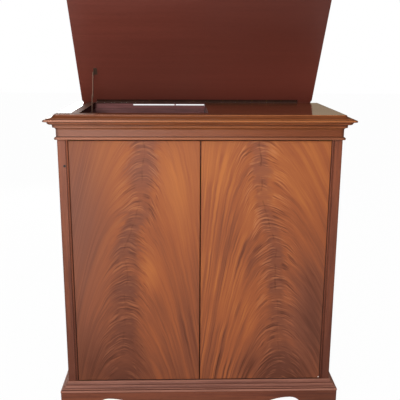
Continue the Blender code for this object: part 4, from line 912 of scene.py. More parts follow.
        # Painted highlight: the edge highlight turns cream towards the left end.
        pale = shade.smooth(x, low.x, 0.0, 0.75, 0.0)
        bright = shade.blend(pale, tint("rubbed"), tint("bleached", 1.7))
        base = cls.rubbed(shade, place, base, bright)
        over = shade.smooth(z, low.z + 0.0076, low.z + 0.0090)
        bead = shade.smooth(over, 0.0, 1.0, 1.0, 0.0)
        base = shade.blend(shade.times(bead, 0.30), base, tint("frieze_bead"))
        dull = shade.times(bead, shade.smooth(x, -0.10, 0.35, 0.0, 0.40))
        base = shade.blend(dull, base, tint("case_dark"))
        # Painted shade at the mitres.
        reach = sizes().cornice_reach
        across = shade.less(shade.size(x), high.x - reach)
        mitre = shade.size(shade.plus(across, shade.less(y, low.y + reach)))
        return shade.blend(shade.smooth(mitre, 0.002, 0.010, 0.65, 0.0), base, tint("hollow"))


class CABINET_OT_doors(bpy.types.Operator):
    """Veneers the doors in crotch mahogany"""

    bl_idname = "cabinet.doors"
    bl_label = "Veneer Doors"

    # The spine and its straight course as shares of the door's height and width, the darkness of the heart
    # up the spine, the bends of the arches, and soft patches (x, z, half width, half height, light or dark)
    left = {
        "spine": [
            (0.0, 0.376), (0.134, 0.370), (0.273, 0.397), (0.381, 0.402), (0.470, 0.426), (0.564, 0.411),
            (0.646, 0.454), (0.717, 0.515), (0.816, 0.548), (1.0, 0.578),
        ],
        "heart": [
            (0.0, 0.95), (0.05, 0.80), (0.09, 0.50), (0.16, 0.85), (0.26, 0.75), (0.32, 0.45),
            (0.40, 0.90), (0.47, 0.50), (0.60, 0.85), (0.70, 0.75), (0.76, 0.40), (0.80, 0.50),
            (0.88, 0.90), (1.0, 0.75),
        ],
        "course": [(0.0, 0.360), (0.5, 0.425), (1.0, 0.580)],
        "bends": (0.042, 0.050),
        "steepness": 34.0,
        "streaks": (0.20, 0.20),
        "flames": 0.40,
        "breadth": 0.086,
        "line": 0.5,
        "patches": [
            (-0.155, 0.466, 0.035, 0.070, 0.26), (-0.060, 0.740, 0.085, 0.140, 0.17),
            (-0.242, 0.738, 0.045, 0.100, 0.14), (-0.110, 0.280, 0.060, 0.120, 0.06),
            (-0.030, 0.300, 0.040, 0.160, -0.14), (-0.250, 0.150, 0.140, 0.080, -0.22),
            (-0.375, 0.260, 0.060, 0.160, -0.24),
        ],
        "faded": (-0.370, 0.640, 0.095, 0.340, 0.88),
        "seed": 2.3,
    }
    right = {
        "spine": [
            (0.0, 0.646), (0.098, 0.653), (0.184, 0.642), (0.295, 0.624), (0.392, 0.612), (0.484, 0.596),
            (0.562, 0.600), (0.645, 0.555), (0.706, 0.512), (0.776, 0.478), (0.851, 0.469), (1.0, 0.440),
        ],
        "heart": [
            (0.0, 0.95), (0.08, 0.85), (0.14, 0.60), (0.22, 0.45), (0.34, 0.45), (0.42, 0.80),
            (0.46, 0.55), (0.55, 0.75), (0.62, 0.55), (0.70, 0.60), (0.80, 0.45), (0.90, 0.70),
            (1.0, 0.60),
        ],
        "course": [(0.0, 0.655), (0.5, 0.590), (1.0, 0.440)],
        "bends": (0.043, 0.056),
        "steepness": 0.0,
        "streaks": (0.46, 0.24),
        "flames": 0.64,
        "breadth": 0.056,
        "line": 0.8,
        "patches": [
            (0.059, 0.794, 0.055, 0.110, 0.24), (0.320, 0.812, 0.080, 0.130, 0.10),
            (0.200, 0.760, 0.050, 0.090, 0.14), (0.095, 0.424, 0.060, 0.120, 0.16),
            (0.354, 0.340, 0.055, 0.200, -0.34), (0.125, 0.546, 0.045, 0.060, -0.18),
            (0.242, 0.150, 0.120, 0.070, -0.30),
        ],
        "faded": (0.330, 0.300, 0.100, 0.200, 0.30),
        "seed": 7.9,
    }

    def execute(self, context):
        dress("door_left", self.veneer("Crotch veneer left", "door_left", self.left))
        dress("door_right", self.veneer("Crotch veneer right", "door_right", self.right))
        self.pin()
        return {"FINISHED"}

    @staticmethod
    def pin():
        """A pin at the foot of the right door, near its outer edge, coloured near white as a painted glint.
        """
        low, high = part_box("door_right")
        radius, inset, rise = 0.0020, 0.0021, 0.0042
        bright = coating("Bright pin", tint("pin"), tint("pin", 0.9), 0.30, 300.0, 0.0001)
        profile = [(0.0, 0.0014), (0.0014, 0.0010), (radius, 0.0), (radius, -0.0010), (0.0, -0.0010)]
        made = stand(turned(profile, 12), (high.x - inset, low.y, low.z + rise), (0.0, -1.0, 0.0))
        piece("door_right_pin", *made, "right_door", "brass", bright)

    def veneer(self, name, node, figure):
        """Crotch figure on the front and plain grain on the inside, worn along the edges."""
        material, shade, surface, place = new_material(name)
        low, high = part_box(node)
        x, y, z = shade.parts(place)
        share = shade.math("DIVIDE", shade.less(z, low.z), high.z - low.z)
        across = self.across(shade, x, share, figure, low, high)
        left_bend, right_bend = figure["bends"]
        made = shade.group(
            figure_group(),
            across=across,
            up=z,
            left_bend=left_bend,
            right_bend=right_bend,
            left_steepness=figure["steepness"],
            seed=figure["seed"],
        )
        front = self.front(shade, place, share, across, made, figure, low.z)
        grain = shade.group(grain_group(), vector=place, band=0.02)
        back = shade.blend(grain["Tone"], *tones("case"))
        base = shade.blend(shade.smooth(y, low.y + 0.0009, low.y + 0.0012), front, back)
        edge = shade.group(edge_group(), vector=place, low=low, high=high, width=0.003)
        base = shade.blend(shade.times(edge["Wear"], 0.16), base, (0.020, 0.010, 0.007))
        shade.feed(surface.inputs["Base Color"], base)
        shade.feed(surface.inputs["Roughness"], shade.scale_add(made["Streaks"], 0.08, 0.40))
        surface.inputs["Specular IOR Level"].default_value = 0.15
        bump(shade, surface, grain["Pores"], 0.08, 0.0003)
        return material

    @staticmethod
    def across(shade, x, share, figure, low, high):
        """Distance to the right of the spine, which winds close by and runs straighter far off."""
        wide = high.x - low.x
        spine = shade.scale_add(shade.curve(share, figure["spine"]), wide, low.x)
        straight = shade.scale_add(shade.curve(share, figure["course"]), wide, low.x)
        close = shade.smooth(shade.size(shade.less(x, straight)), 0.015, 0.085, 1.0, 0.0)
        return shade.less(x, shade.scale_add(shade.less(spine, straight), close, straight))

    def front(self, shade, place, share, across, made, figure, foot):
        """Ground tone, dull ragged heart with a dark line, dark and light strokes, and the faded side."""
        z = shade.parts(place)[2]
        away = shade.size(across)
        feather = shade.times(shade.smooth(away, 0.030, 0.100, 1.0, 0.0), made["Breaks"])
        fall = shade.larger(shade.less(foot + 0.19, z), 0.0)
        width = shade.scale_add(made["Blots"], figure["breadth"], shade.scale_add(fall, 0.22, 0.006))
        ragged = shade.times(width, shade.scale_add(made["Strokes"], 0.8, 0.6))
        dark = shade.curve(share, figure["heart"])
        heart = shade.times(shade.smooth(away, shade.times(ragged, 0.40), ragged, 1.0, 0.0), dark)
        tone = self.tone(shade, place, share, across, made, figure, heart, feather)
        stops = zip((0.05, 0.32, 0.60, 0.95), ("dark", "brown", "orange", "gold"))
        front = shade.ramp(tone, [(stop, tint(f"veneer_{word}")) for stop, word in stops])
        dull = shade.blend(share, tint("heart_low"), tint("heart_high"))
        front = shade.blend(shade.times(heart, 0.85), front, dull)
        swing = shade.times(shade.less(made["Blots"], 0.5), 0.030)
        beside = shade.size(shade.plus(across, swing))
        line = shade.times(shade.smooth(beside, 0.0, 0.0040, figure["line"], 0.0), made["Breaks"])
        front = shade.blend(shade.times(line, dark), front, tint("veneer_dark"))
        darker = shade.times(shade.smooth(made["Strokes"], 0.40, 0.05, 0.0, 1.0), feather)
        front = shade.blend(shade.times(darker, 0.30), front, tint("veneer_dark"))
        flames = shade.times(shade.smooth(made["Strokes"], 0.60, 0.95), feather)
        bright = shade.blend(share, tint("flame_low"), tint("flame_high"))
        front = shade.blend(shade.times(flames, figure["flames"]), front, bright)
        *oval, weight = figure["faded"]
        faded = shade.blend(made["Streaks"], tint("veneer_faded", 0.84), tint("veneer_faded", 1.12))
        return shade.blend(shade.times(self.patch(shade, place, *oval), weight), front, faded)

    def tone(self, shade, place, share, across, made, figure, heart, feather):
        """Ground tone, lighter upwards: bands, side streaks, fibres, strokes, heart and patches."""
        near, far = figure["streaks"]
        weight = shade.scale_add(shade.math("GREATER_THAN", across, 0.0), far - near, near)
        side = shade.times(weight, shade.smooth(shade.size(across), 0.050, 0.120, 0.35, 1.0))
        side = shade.times(side, shade.smooth(shade.noise(place, 7.0, 2.0), 0.38, 0.62, 0.35, 1.35))
        tone = shade.scale_add(share, 0.20, 0.43)
        for found, weight in (("Bands", 0.22), ("Streaks", side), ("Fibres", 0.38)):
            tone = shade.scale_add(shade.less(made[found], 0.5), weight, tone)
        tone = shade.scale_add(shade.times(shade.less(made["Strokes"], 0.5), feather), 0.58, tone)
        tone = shade.scale_add(heart, -0.08, tone)
        for *oval, weight in figure["patches"]:
            tone = shade.scale_add(self.patch(shade, place, *oval), weight, tone)
        return tone

    @staticmethod
    def patch(shade, place, x, z, half_x, half_z):
        """A soft oval patch about (x, z)."""
        found = shade.group(patch_group(), vector=place, middle=(x, 0.0, z), reach=(half_x, 1.0, half_z))
        return found["Patch"]


class CABINET_OT_lid(bpy.types.Operator):
    """Stains the lid and polishes the top board"""

    bl_idname = "cabinet.lid"
    bl_label = "Finish Lid and Top"

    def execute(self, context):
        # The dark border along the lid's edges is painted shade on their thickness.
        lid = wood(
            "Stained lid",
            "lid_panel",
            *tones("lid"),
            "X",
            band=0.020,
            gloss=0.34,
            wear=0.75,
            edge_colour=tint("lid_dark", 0.35),
            offset=31.0,
            finish=self.lit_inside_and_outer_face,
            polish=0.4,
            pore=0.0001,
        )
        dress("lid_panel", lid)
        top = wood(
            "Polished top",
            "top_board",
            *tones("top"),
            "X",
            band=0.018,
            gloss=0.13,
            wear=0.3,
            offset=33.0,
            finish=self.cut_edges,
            polish=0.5,
            pore=0.00003,
        )
        self.dull_below(top)
        dress("top_board", top)
        return {"FINISHED"}

    @staticmethod
    def under(shade, z):
        """1 below the top board's upper face."""
        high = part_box("top_board")[1].z
        return shade.smooth(z, high - 0.0012, high - 0.0004, 1.0, 0.0)

    def dull_below(self, material):
        """The upper face is polished, and the cut edges of well and slot and the rim strip are dull."""
        shade = Shade(material.node_tree)
        surface = material.node_tree.nodes["Principled BSDF"]
        place = shade.place("ShaderNodeTexCoord", {}, "Object")
        below = self.under(shade, shade.parts(place)[2])
        marked = self.rim(shade, place)
        polished = surface.inputs["Roughness"].links[0].from_socket
        dull = shade.scale_add(marked, 0.5, shade.scale_add(below, 0.6, polished))
        shade.feed(surface.inputs["Roughness"], dull)
        level = surface.inputs["Specular IOR Level"]
        weak = shade.scale_add(below, -0.4, level.default_value)
        shade.feed(level, shade.scale_add(marked, -0.1, weak))

    @staticmethod
    def rim(shade, place):
        """1 on the strip left of the well and on the front margin beside it, which are dull and carry a
        painted reflection.
        """
        x, y, z = shade.parts(place)
        left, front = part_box("well_wall_left")[1].x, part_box("well_wall_front")[1].y
        edge = left - sizes().rim_width
        strip = shade.smooth(x, edge - 0.001, edge + 0.001)
        margin = shade.smooth(y, front, front + 0.004, 1.0, 0.0)
        end = shade.scale_add(margin, 0.016, left)
        fade = shade.scale_add(margin, 0.050, 0.006)
        within = shade.smooth(x, end, shade.plus(end, fade), 1.0, 0.0)
        return shade.times(within, shade.larger(strip, margin))

    @classmethod
    def cut_edges(cls, shade, place, base):
        """Painted reflection on the rim strip; cut edges finished like the well's boards, with painted
        shadow under the hinge and painted shade by the left wall.
        """
        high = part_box("top_board")[1].z
        x, y, z = shade.parts(place)
        front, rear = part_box("well_wall_front")[1].y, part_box("well_wall_rear")[0].y
        # Painted reflection on the rim strip: a pale glare near the front and the mirrored lid, darker,
        # near the hinge.
        marked = shade.blend(shade.smooth(y, front, rear), tint("rim_front"), tint("rim_rear"))
        base = shade.blend(shade.times(cls.rim(shade, place), 0.8), base, marked)
        facing = shade.parts(shade.place("ShaderNodeNewGeometry", {}, "True Normal"))[2]
        upright = shade.smooth(shade.size(facing), 0.3, 0.6, 1.0, 0.0)
        grain = shade.noise(shade.stretch(place, 9.0, 60.0, 160.0), 1.0, 3.0)
        stain_and_shade = shade.blend(grain, *tones("well"))
        # Painted shadow close under the hinge.
        shadow = shade.smooth(z, high - 0.0040, high - 0.0020, 0.0, 0.85)
        stain_and_shade = shade.blend(shadow, stain_and_shade, tint("hinge", 0.3))
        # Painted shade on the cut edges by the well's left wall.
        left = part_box("well_wall_left")[1].x
        corner = shade.smooth(x, left, left + 0.010, 0.7, 0.0)
        stain_and_shade = shade.blend(corner, stain_and_shade, tint("lining_dark", 0.3))
        return shade.blend(shade.larger(upright, cls.under(shade, z)), base, stain_and_shade)

    @classmethod
    def lit_inside_and_outer_face(cls, shade, place, base):
        """Inside, darker towards the upper right and, as painted light, lighter near the hinge. Outside,
        polish like the top's.
        """
        low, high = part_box("lid_panel")
        x, y, z = shade.parts(place)
        right = shade.smooth(x, low.x, high.x, 0.0, 0.56)
        deep = shade.times(right, shade.smooth(z, low.z - 0.15, high.z))
        base = shade.blend(deep, base, tint("lid_dark", 0.5))
        # Painted light: the inner face is lighter near the hinge, in place of light thrown up from the
        # polished top.
        faded = shade.smooth(z, low.z, low.z + 0.22, 0.5, 0.0)
        base = shade.blend(faded, base, tint("lid_light", 1.5))
        grain = shade.group(grain_group(), vector=grain_direction(shade, place, "X", 35.0), band=0.018)
        outside = shade.blend(grain["Tone"], *tones("top"))
        return shade.blend(cls.outer(shade, place), base, outside)

    @staticmethod
    def outer(shade, place):
        """1 on the lid's outer face, by the depth along the lid's own normal."""
        mesh = frame["nodes"]["lid_panel"].data
        points = np.zeros(3 * len(mesh.vertices))
        mesh.vertices.foreach_get("co", points)
        along, inward = lid_axes()
        depths = points.reshape(-1, 3) @ inward
        near, thick = depths.min(), np.ptp(depths)
        depth = shade.vector("DOT_PRODUCT", place, tuple(inward), output=1)
        return shade.smooth(depth, near + 0.70 * thick, near + 0.85 * thick, 1.0, 0.0)


class CABINET_OT_hinge(bpy.types.Operator):
    """Tarnishes the lid's long hinge and sets its screws"""

    bl_idname = "cabinet.hinge"
    bl_label = "Fit Hinge Screws"

    def execute(self, context):
        strip = coating("Tarnished hinge", tint("hinge"), tint("hinge", 0.5), 0.80, 500.0, 0.0002)
        dress("lid_hinge_upper_leaf", strip)
        dress("lid_hinge_lower_leaf", strip)
        dress("lid_hinge_pin", metal("Steel hinge pin", tint("paint"), tint("hinge"), 0.45))
        head = metal("Hinge screw", tint("brass", 0.45), tint("hinge"), 0.45, 700.0)
        radius, pitch, end = sizes().hinge_screw_radius, sizes().hinge_screw_pitch, sizes().hinge_screw_end
        margin, height, sunk = 0.02, 0.0054, 0.0009
        count = int((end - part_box("lid_hinge_upper_leaf")[0].x - margin) / pitch) + 1
        x = end - pitch * np.arange(count)
        along, out = lid_axes()
        inner = joint_place("lid_hinge") + along * height - out * sunk
        places = np.stack(np.broadcast_arrays(x, inner[1], inner[2]), -1)
        screws("lid_hinge_screws", places, out, radius, "lid", "brass", head)
        low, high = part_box("lid_hinge_lower_leaf")
        between = x[:-1] - pitch / 2
        places = np.stack(np.broadcast_arrays(between, low.y + 0.0038, high.z - 0.0025), -1)
        screws("top_hinge_screws", places, (0.0, 0.0, 1.0), radius, "cabinet", "brass", head)
        return {"FINISHED"}


class CABINET_OT_stay(bpy.types.Operator):
    """Finishes the folding stay in brass and sets its rivets"""

    bl_idname = "cabinet.stay"
    bl_label = "Finish Stay"

    def execute(self, context):
        brass = metal("Stay brass", tint("stay"), tint("stay", 0.6), 0.42, 300.0, 0.2)
        dull = metal("Dull brass", tint("stay", 0.45), tint("stay", 0.3), 0.5, 300.0, 0.2)
        dress("stay_lid_bracket", dull)
        for node in ("stay_upper_link", "stay_lower_link", "stay_wall_bracket"):
            dress(node, brass)
        self.rivets(brass)
        self.bracket_screws(brass)
        pivots = metal("Pivot brass", tint("brass", 0.16), tint("brass", 0.06), 0.60)
        for side in ("left", "right"):
            for end in ("top", "bottom"):
                dress(f"pivot_{side}_{end}", pivots)
        return {"FINISHED"}

    @staticmethod
    def rivets(brass):
        """Domed heads on the lid bracket's ear, at the elbow and at the foot, away from the wall."""
        top, foot = joint_place("stay_upper_pivot"), joint_place("stay_lower_pivot")
        upper, lower = sizes().stay_upper, sizes().stay_lower
        elbow = top + (foot - top) * upper / (upper + lower)
        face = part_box("stay_upper_link")[1].x
        radius = sizes().rivet_radius
        height = radius * 0.32
        dome = [(0.0, 1.0), (0.5, 0.88), (0.85, 0.5), (1.0, 0.0), (0.0, 0.0)]
        shape = turned(np.array(dome) * (radius, height), 16)
        for name, body, centre, x in (
            ("stay_top_rivet", "lid", top, face + sizes().stay_ear),
            ("stay_elbow_rivet", "stay_upper", elbow, face),
            ("stay_foot_rivet", "stay_lower", foot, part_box("stay_lower_link")[1].x),
        ):
            made = stand(shape, (x, centre[1], centre[2]), (1.0, 0.0, 0.0))
            piece(name, *made, body, "brass", brass)

    @staticmethod
    def bracket_screws(brass):
        """Two screws in the foot plate, below the lower link."""
        low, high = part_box("stay_wall_bracket")
        plate, inset, radius = 0.0015, 0.0045, 0.0022
        places = np.array([(low.x + plate, y, low.z + inset) for y in (low.y + inset, high.y - inset)])
        screws("stay_wall_screws", places, (1.0, 0.0, 0.0), radius, "cabinet", "brass", brass)


class CABINET_OT_turntable(bpy.types.Operator):
    """Finishes the deck, platter, drive and ribbed mat"""

    bl_idname = "cabinet.turntable"
    bl_label = "Finish Turntable"

    def execute(self, context):
        hammered = coating("Hammered enamel", tint("enamel"), tint("enamel", 0.55), 0.32, 260.0, 0.0008)
        dress("motor_board", hammered)
        dress("platter", hammered)
        self.deck_screws()
        dress("spindle", metal("Bright steel", tint("steel"), tint("steel", 0.6), 0.18))
        brass = metal("Bearing brass", tint("brass"), tint("brass", 0.5), 0.30)
        dress("spindle_bearing", brass)
        dress("motor_pulley", brass)
        dress("motor", coating("Satin paint", tint("paint"), tint("paint", 0.5), 0.42, 700.0, 0.0002))
        rubber = coating("Rubber", tint("rubber"), tint("rubber", 1.8), 0.62, 900.0, 0.0001)
        dress("idler_wheel", rubber)
        dress("mains_gland", rubber)
        self.mat(rubber)
        return {"FINISHED"}

    @staticmethod
    def deck_screws():
        """One screw in each corner of the deck, the rear right one in front of the corner block."""
        low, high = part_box("motor_board")
        inset = 0.014
        left, right = low.x + inset, high.x - inset
        front, rear = low.y + inset, high.y - inset
        corners = [(left, front), (left, rear), (right, front)]
        corners.append((right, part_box("well_corner_block")[0].y - inset))
        places = np.array([(x, y, high.z) for x, y in corners])
        head = metal("Deck screw", tint("steel"), tint("steel", 0.5), 0.28, 700.0)
        screws("deck_screws", places, (0.0, 0.0, 1.0), sizes().back_screw_radius, "cabinet", "steel", head)

    def mat(self, rubber):
        """Ribbed mat turned about the spindle: height = top - rib (1 + cos(2 pi r / pitch)) / 2."""
        low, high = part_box("platter_mat")
        spindle_low, spindle_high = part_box("spindle")
        outer = (high.x - low.x) / 2
        plain, clear = 0.050, 0.004
        inner = (spindle_high.x - spindle_low.x) / 2 + clear
        radius = np.linspace(outer - 0.0012, inner + 0.0006, 150)
        rib = sizes().rib_height * (0.5 + 0.5 * np.cos(2.0 * np.pi * radius / sizes().rib_pitch))
        top = high.z - np.where(radius < plain, 0.0, rib)
        profile = np.concatenate([
            [[outer, low.z], [outer, high.z - 0.0010]],
            np.stack([radius, top], -1),
            [[inner, high.z - 0.0006], [inner, low.z]],
        ])
        steps = 96
        angles = np.linspace(0.0, 2.0 * np.pi, steps, endpoint=False)
        around = np.stack(
            [
                (low.x + high.x) / 2 + profile[:, None, 0] * np.cos(angles),
                (low.y + high.y) / 2 + profile[:, None, 0] * np.sin(angles),
                np.broadcast_to(profile[:, None, 1], (len(profile), steps)),
            ],
            -1,
        )
        faces = grid_faces(len(profile), steps, wrap_rows=True, wrap_columns=True)
        made = piece("ribbed_mat", around, faces, "turntable", "rubber", rubber)
        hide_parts("platter_mat")


class CABINET_OT_tonearm(bpy.types.Operator):
    """Shapes the tonearm and finishes its post, yoke and rest"""

    bl_idname = "cabinet.tonearm"
    bl_label = "Shape Tonearm"

    def execute(self, context):
        satin = coating("Arm post paint", tint("paint"), tint("paint", 0.5), 0.36, 700.0, 0.0002)
        dress("tonearm_post", satin)
        self.yoke(satin)
        dark = coating("Arm rest moulding", tint("knob"), tint("knob", 0.5), 0.25, 500.0, 0.0001)
        dress("tonearm_rest", dark)
        pale = coating("Ivory tonearm", tint("ivory"), tint("ivory", 0.82), 0.28, 200.0, 0.0001, 0.35)
        steel = metal("Arm steel", tint("steel"), tint("steel", 0.6), 0.22)
        middle = joint_place("tonearm_lift")
        self.arm(middle, pale)
        self.weight(middle, steel)
        self.pick_up(middle, dark, steel)
        return {"FINISHED"}

    @staticmethod
    def yoke(satin):
        """Round foot, two ears with round heads at the pivot's height, and the ends of the pivot pin."""
        low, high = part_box("tonearm_yoke")
        middle = joint_place("tonearm_lift")
        radius = (high.y - low.y) / 2
        foot = [
            (0.0, low.z + 0.0060), (radius * 0.86, low.z + 0.0060), (radius * 0.95, low.z + 0.0054),
            (radius, low.z + 0.0040), (radius, low.z), (0.0, low.z),
        ]
        points, faces = stand(turned(foot, 40), (middle[0], middle[1], 0.0), (0.0, 0.0, 1.0))
        half = high.z - middle[2]
        head = arc((middle[1], middle[2]), (half, half), 0, 180, 17)
        sole = low.z + 0.003
        outline = np.vstack([head, [(middle[1] - half, sole), (middle[1] + half, sole)]])
        button = [(0.0, 0.0010), (0.0020, 0.0009), (0.0027, 0.0004), (0.0027, -0.0004), (0.0, -0.0004)]
        for side in (-1.0, 1.0):
            near, far = middle[0] + side * 0.0056, middle[0] + side * 0.0086
            ear = np.vstack([np.column_stack([np.full(len(outline), x), outline]) for x in (near, far)])
            end = stand(turned(button, 16), (far, middle[1], middle[2]), (side, 0.0, 0.0))
            for more_points, more_faces in ((ear, capped(2, len(outline))), end):
                faces = faces + [tuple(int(c) + len(points) for c in face) for face in more_faces]
                points = np.vstack([points, more_points])
        made = piece("arm_yoke_shaped", points, faces, "arm_yoke", "painted_steel", satin)
        turn_outward(made.data)
        made.data.set_sharp_from_angle(angle=math.radians(40))
        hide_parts("tonearm_yoke")

    @staticmethod
    def arm(middle, pale):
        """Slim arm that widens to its head."""
        # Millimetres ahead of the pivot, half width and half height
        stations = [
            (-30.0, 3.6, 3.2), (-12.0, 4.6, 4.2), (0.0, 4.8, 4.4), (30.0, 4.6, 4.3), (90.0, 4.0, 3.8),
            (140.0, 4.2, 4.0), (156.0, 5.2, 4.6), (166.0, 7.0, 5.4), (176.0, 7.9, 5.8), (186.0, 7.9, 5.7),
            (194.0, 7.0, 4.8), (198.0, 5.4, 3.4), (200.0, 2.4, 1.4),
        ]
        ahead, width, height = np.array(stations).T / 1000.0
        along = np.linspace(ahead[0], middle[1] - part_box("tonearm")[0].y, 90)
        shape = tube(along, np.interp(along, ahead, width), np.interp(along, ahead, height), middle)
        made = piece("arm_shaped", *shape, "arm", "ivory_plastic", pale)
        turn_outward(made.data)
        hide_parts("tonearm")

    @staticmethod
    def weight(middle, steel):
        """Weight behind the pivot with three grooves round it."""
        low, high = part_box("tonearm")
        rear = high.y - middle[1]
        radius = (high.x - low.x) / 2
        groove = radius * 0.93
        profile = [(0.0, rear), (radius * 0.9, rear), (radius, rear - 0.0012)]
        for k in range(3):
            start = rear - 0.0060 - 0.0040 * k
            profile += [(radius, start), (groove, start - 0.0006)]
            profile += [(groove, start - 0.0012), (radius, start - 0.0018)]
        profile += [(radius, rear - 0.0208), (radius * 0.9, rear - 0.0220), (0.0, rear - 0.0220)]
        shape = stand(turned(profile, 36), middle, (0.0, 1.0, 0.0))
        made = piece("arm_weight", *shape, "arm", "steel", steel)
        made.data.set_sharp_from_angle(angle=math.radians(30))

    @staticmethod
    def pick_up(middle, dark, steel):
        """Rounded pick-up under the head, and its stylus."""
        under = middle - (0.0, 0.0, 0.0095)
        share = np.linspace(-1.0, 1.0, 13)
        round_end = (1.0 - np.abs(share) ** 6) ** 0.5 + 0.02
        shape = tube(0.180 + 0.009 * share, 0.0045 * round_end, 0.0035 * round_end, under)
        made = piece("arm_pick_up", *shape, "arm", "bakelite", dark)
        turn_outward(made.data)
        needle = [(0.0, 0.0030), (0.0006, 0.0030), (0.0006, 0.0012), (0.0, 0.0)]
        place = (middle[0], middle[1] - 0.1845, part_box("tonearm")[0].z)
        shape = stand(turned(needle, 10), place, (0.0, 0.0, 1.0))
        piece("arm_stylus", *shape, "arm", "steel", steel)


class CABINET_OT_knobs(bpy.types.Operator):
    """Makes the fluted speed, volume and tone knobs"""

    bl_idname = "cabinet.knobs"
    bl_label = "Make Knobs"

    def execute(self, context):
        for node, body, axis in (
            ("speed_knob", "speed_control", (0.0, 0.0, 1.0)),
            ("volume_knob", "volume_control", (0.0, -1.0, 0.0)),
            ("tone_knob", "tone_control", (0.0, -1.0, 0.0)),
        ):
            self.knob(node, body, np.array(axis))
        return {"FINISHED"}

    def knob(self, node, body, axis):
        """Fluted knob, r = profile (1 - 0.05 (1 - cos(flutes t)) / 2) on its side, with a dished top."""
        low, high = (np.array(corner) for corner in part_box(node))
        base = joint_place(node.replace("_knob", "_turn"))
        height = float(np.max((np.where(axis > 0, high, low) - base) * axis))
        across = int(np.argmax(np.abs(axis) < 0.5))
        radius = float((high - low)[across] / 2)
        foot = 0.0004
        profile = [
            (0.0, height - 0.0010), (radius * 0.30, height - 0.0009), (radius * 0.60, height - 0.0005),
            (radius * 0.80, height), (radius * 0.88, height - 0.0006), (radius * 0.92, height - 0.0022),
            (radius * 0.95, height * 0.5), (radius * 0.97, height * 0.24), (radius * 0.98, height * 0.20),
            (radius, height * 0.16), (radius, foot + 0.0004), (radius * 0.97, foot), (0.0, foot),
        ]
        count = sizes().flutes

        def flute(rings, angles):
            side = ((rings[:, 1] > height * 0.22) & (rings[:, 0] > radius * 0.90))[:, None]
            return 1.0 - side * 0.05 * (0.5 - 0.5 * np.cos(count * angles))[None, :]

        made = stand(turned(profile, count * 6, flute), base, axis)
        made = piece(node + "_fluted", *made, body, "bakelite", self.moulding(node, base, axis, radius))
        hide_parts(node)

    @staticmethod
    def moulding(node, base, axis, radius):
        """Moulded knob with an ivory pointer line from near its middle to its rim."""
        material, shade, surface, place = new_material(f"Moulded {node}")
        marks = shade.group(speckle_group(), vector=place, fineness=350.0)
        ground = shade.blend(shade.times(marks["Stain"], 0.5), tint("knob"), tint("knob", 1.9))
        x, y, z = shade.parts(shade.vector("SUBTRACT", place, tuple(base)))
        up = y if axis[2] > 0.5 else z
        thin = shade.math("LESS_THAN", shade.size(x), 0.0008)
        line = shade.times(thin, shade.math("GREATER_THAN", up, radius * 0.25))
        shade.feed(surface.inputs["Base Color"], shade.blend(line, ground, tint("ivory")))
        shade.feed(surface.inputs["Roughness"], shade.scale_add(marks["Speckle"], 0.12, 0.18))
        bump(shade, surface, marks["Speckle"], 0.04, 0.0001)
        return material


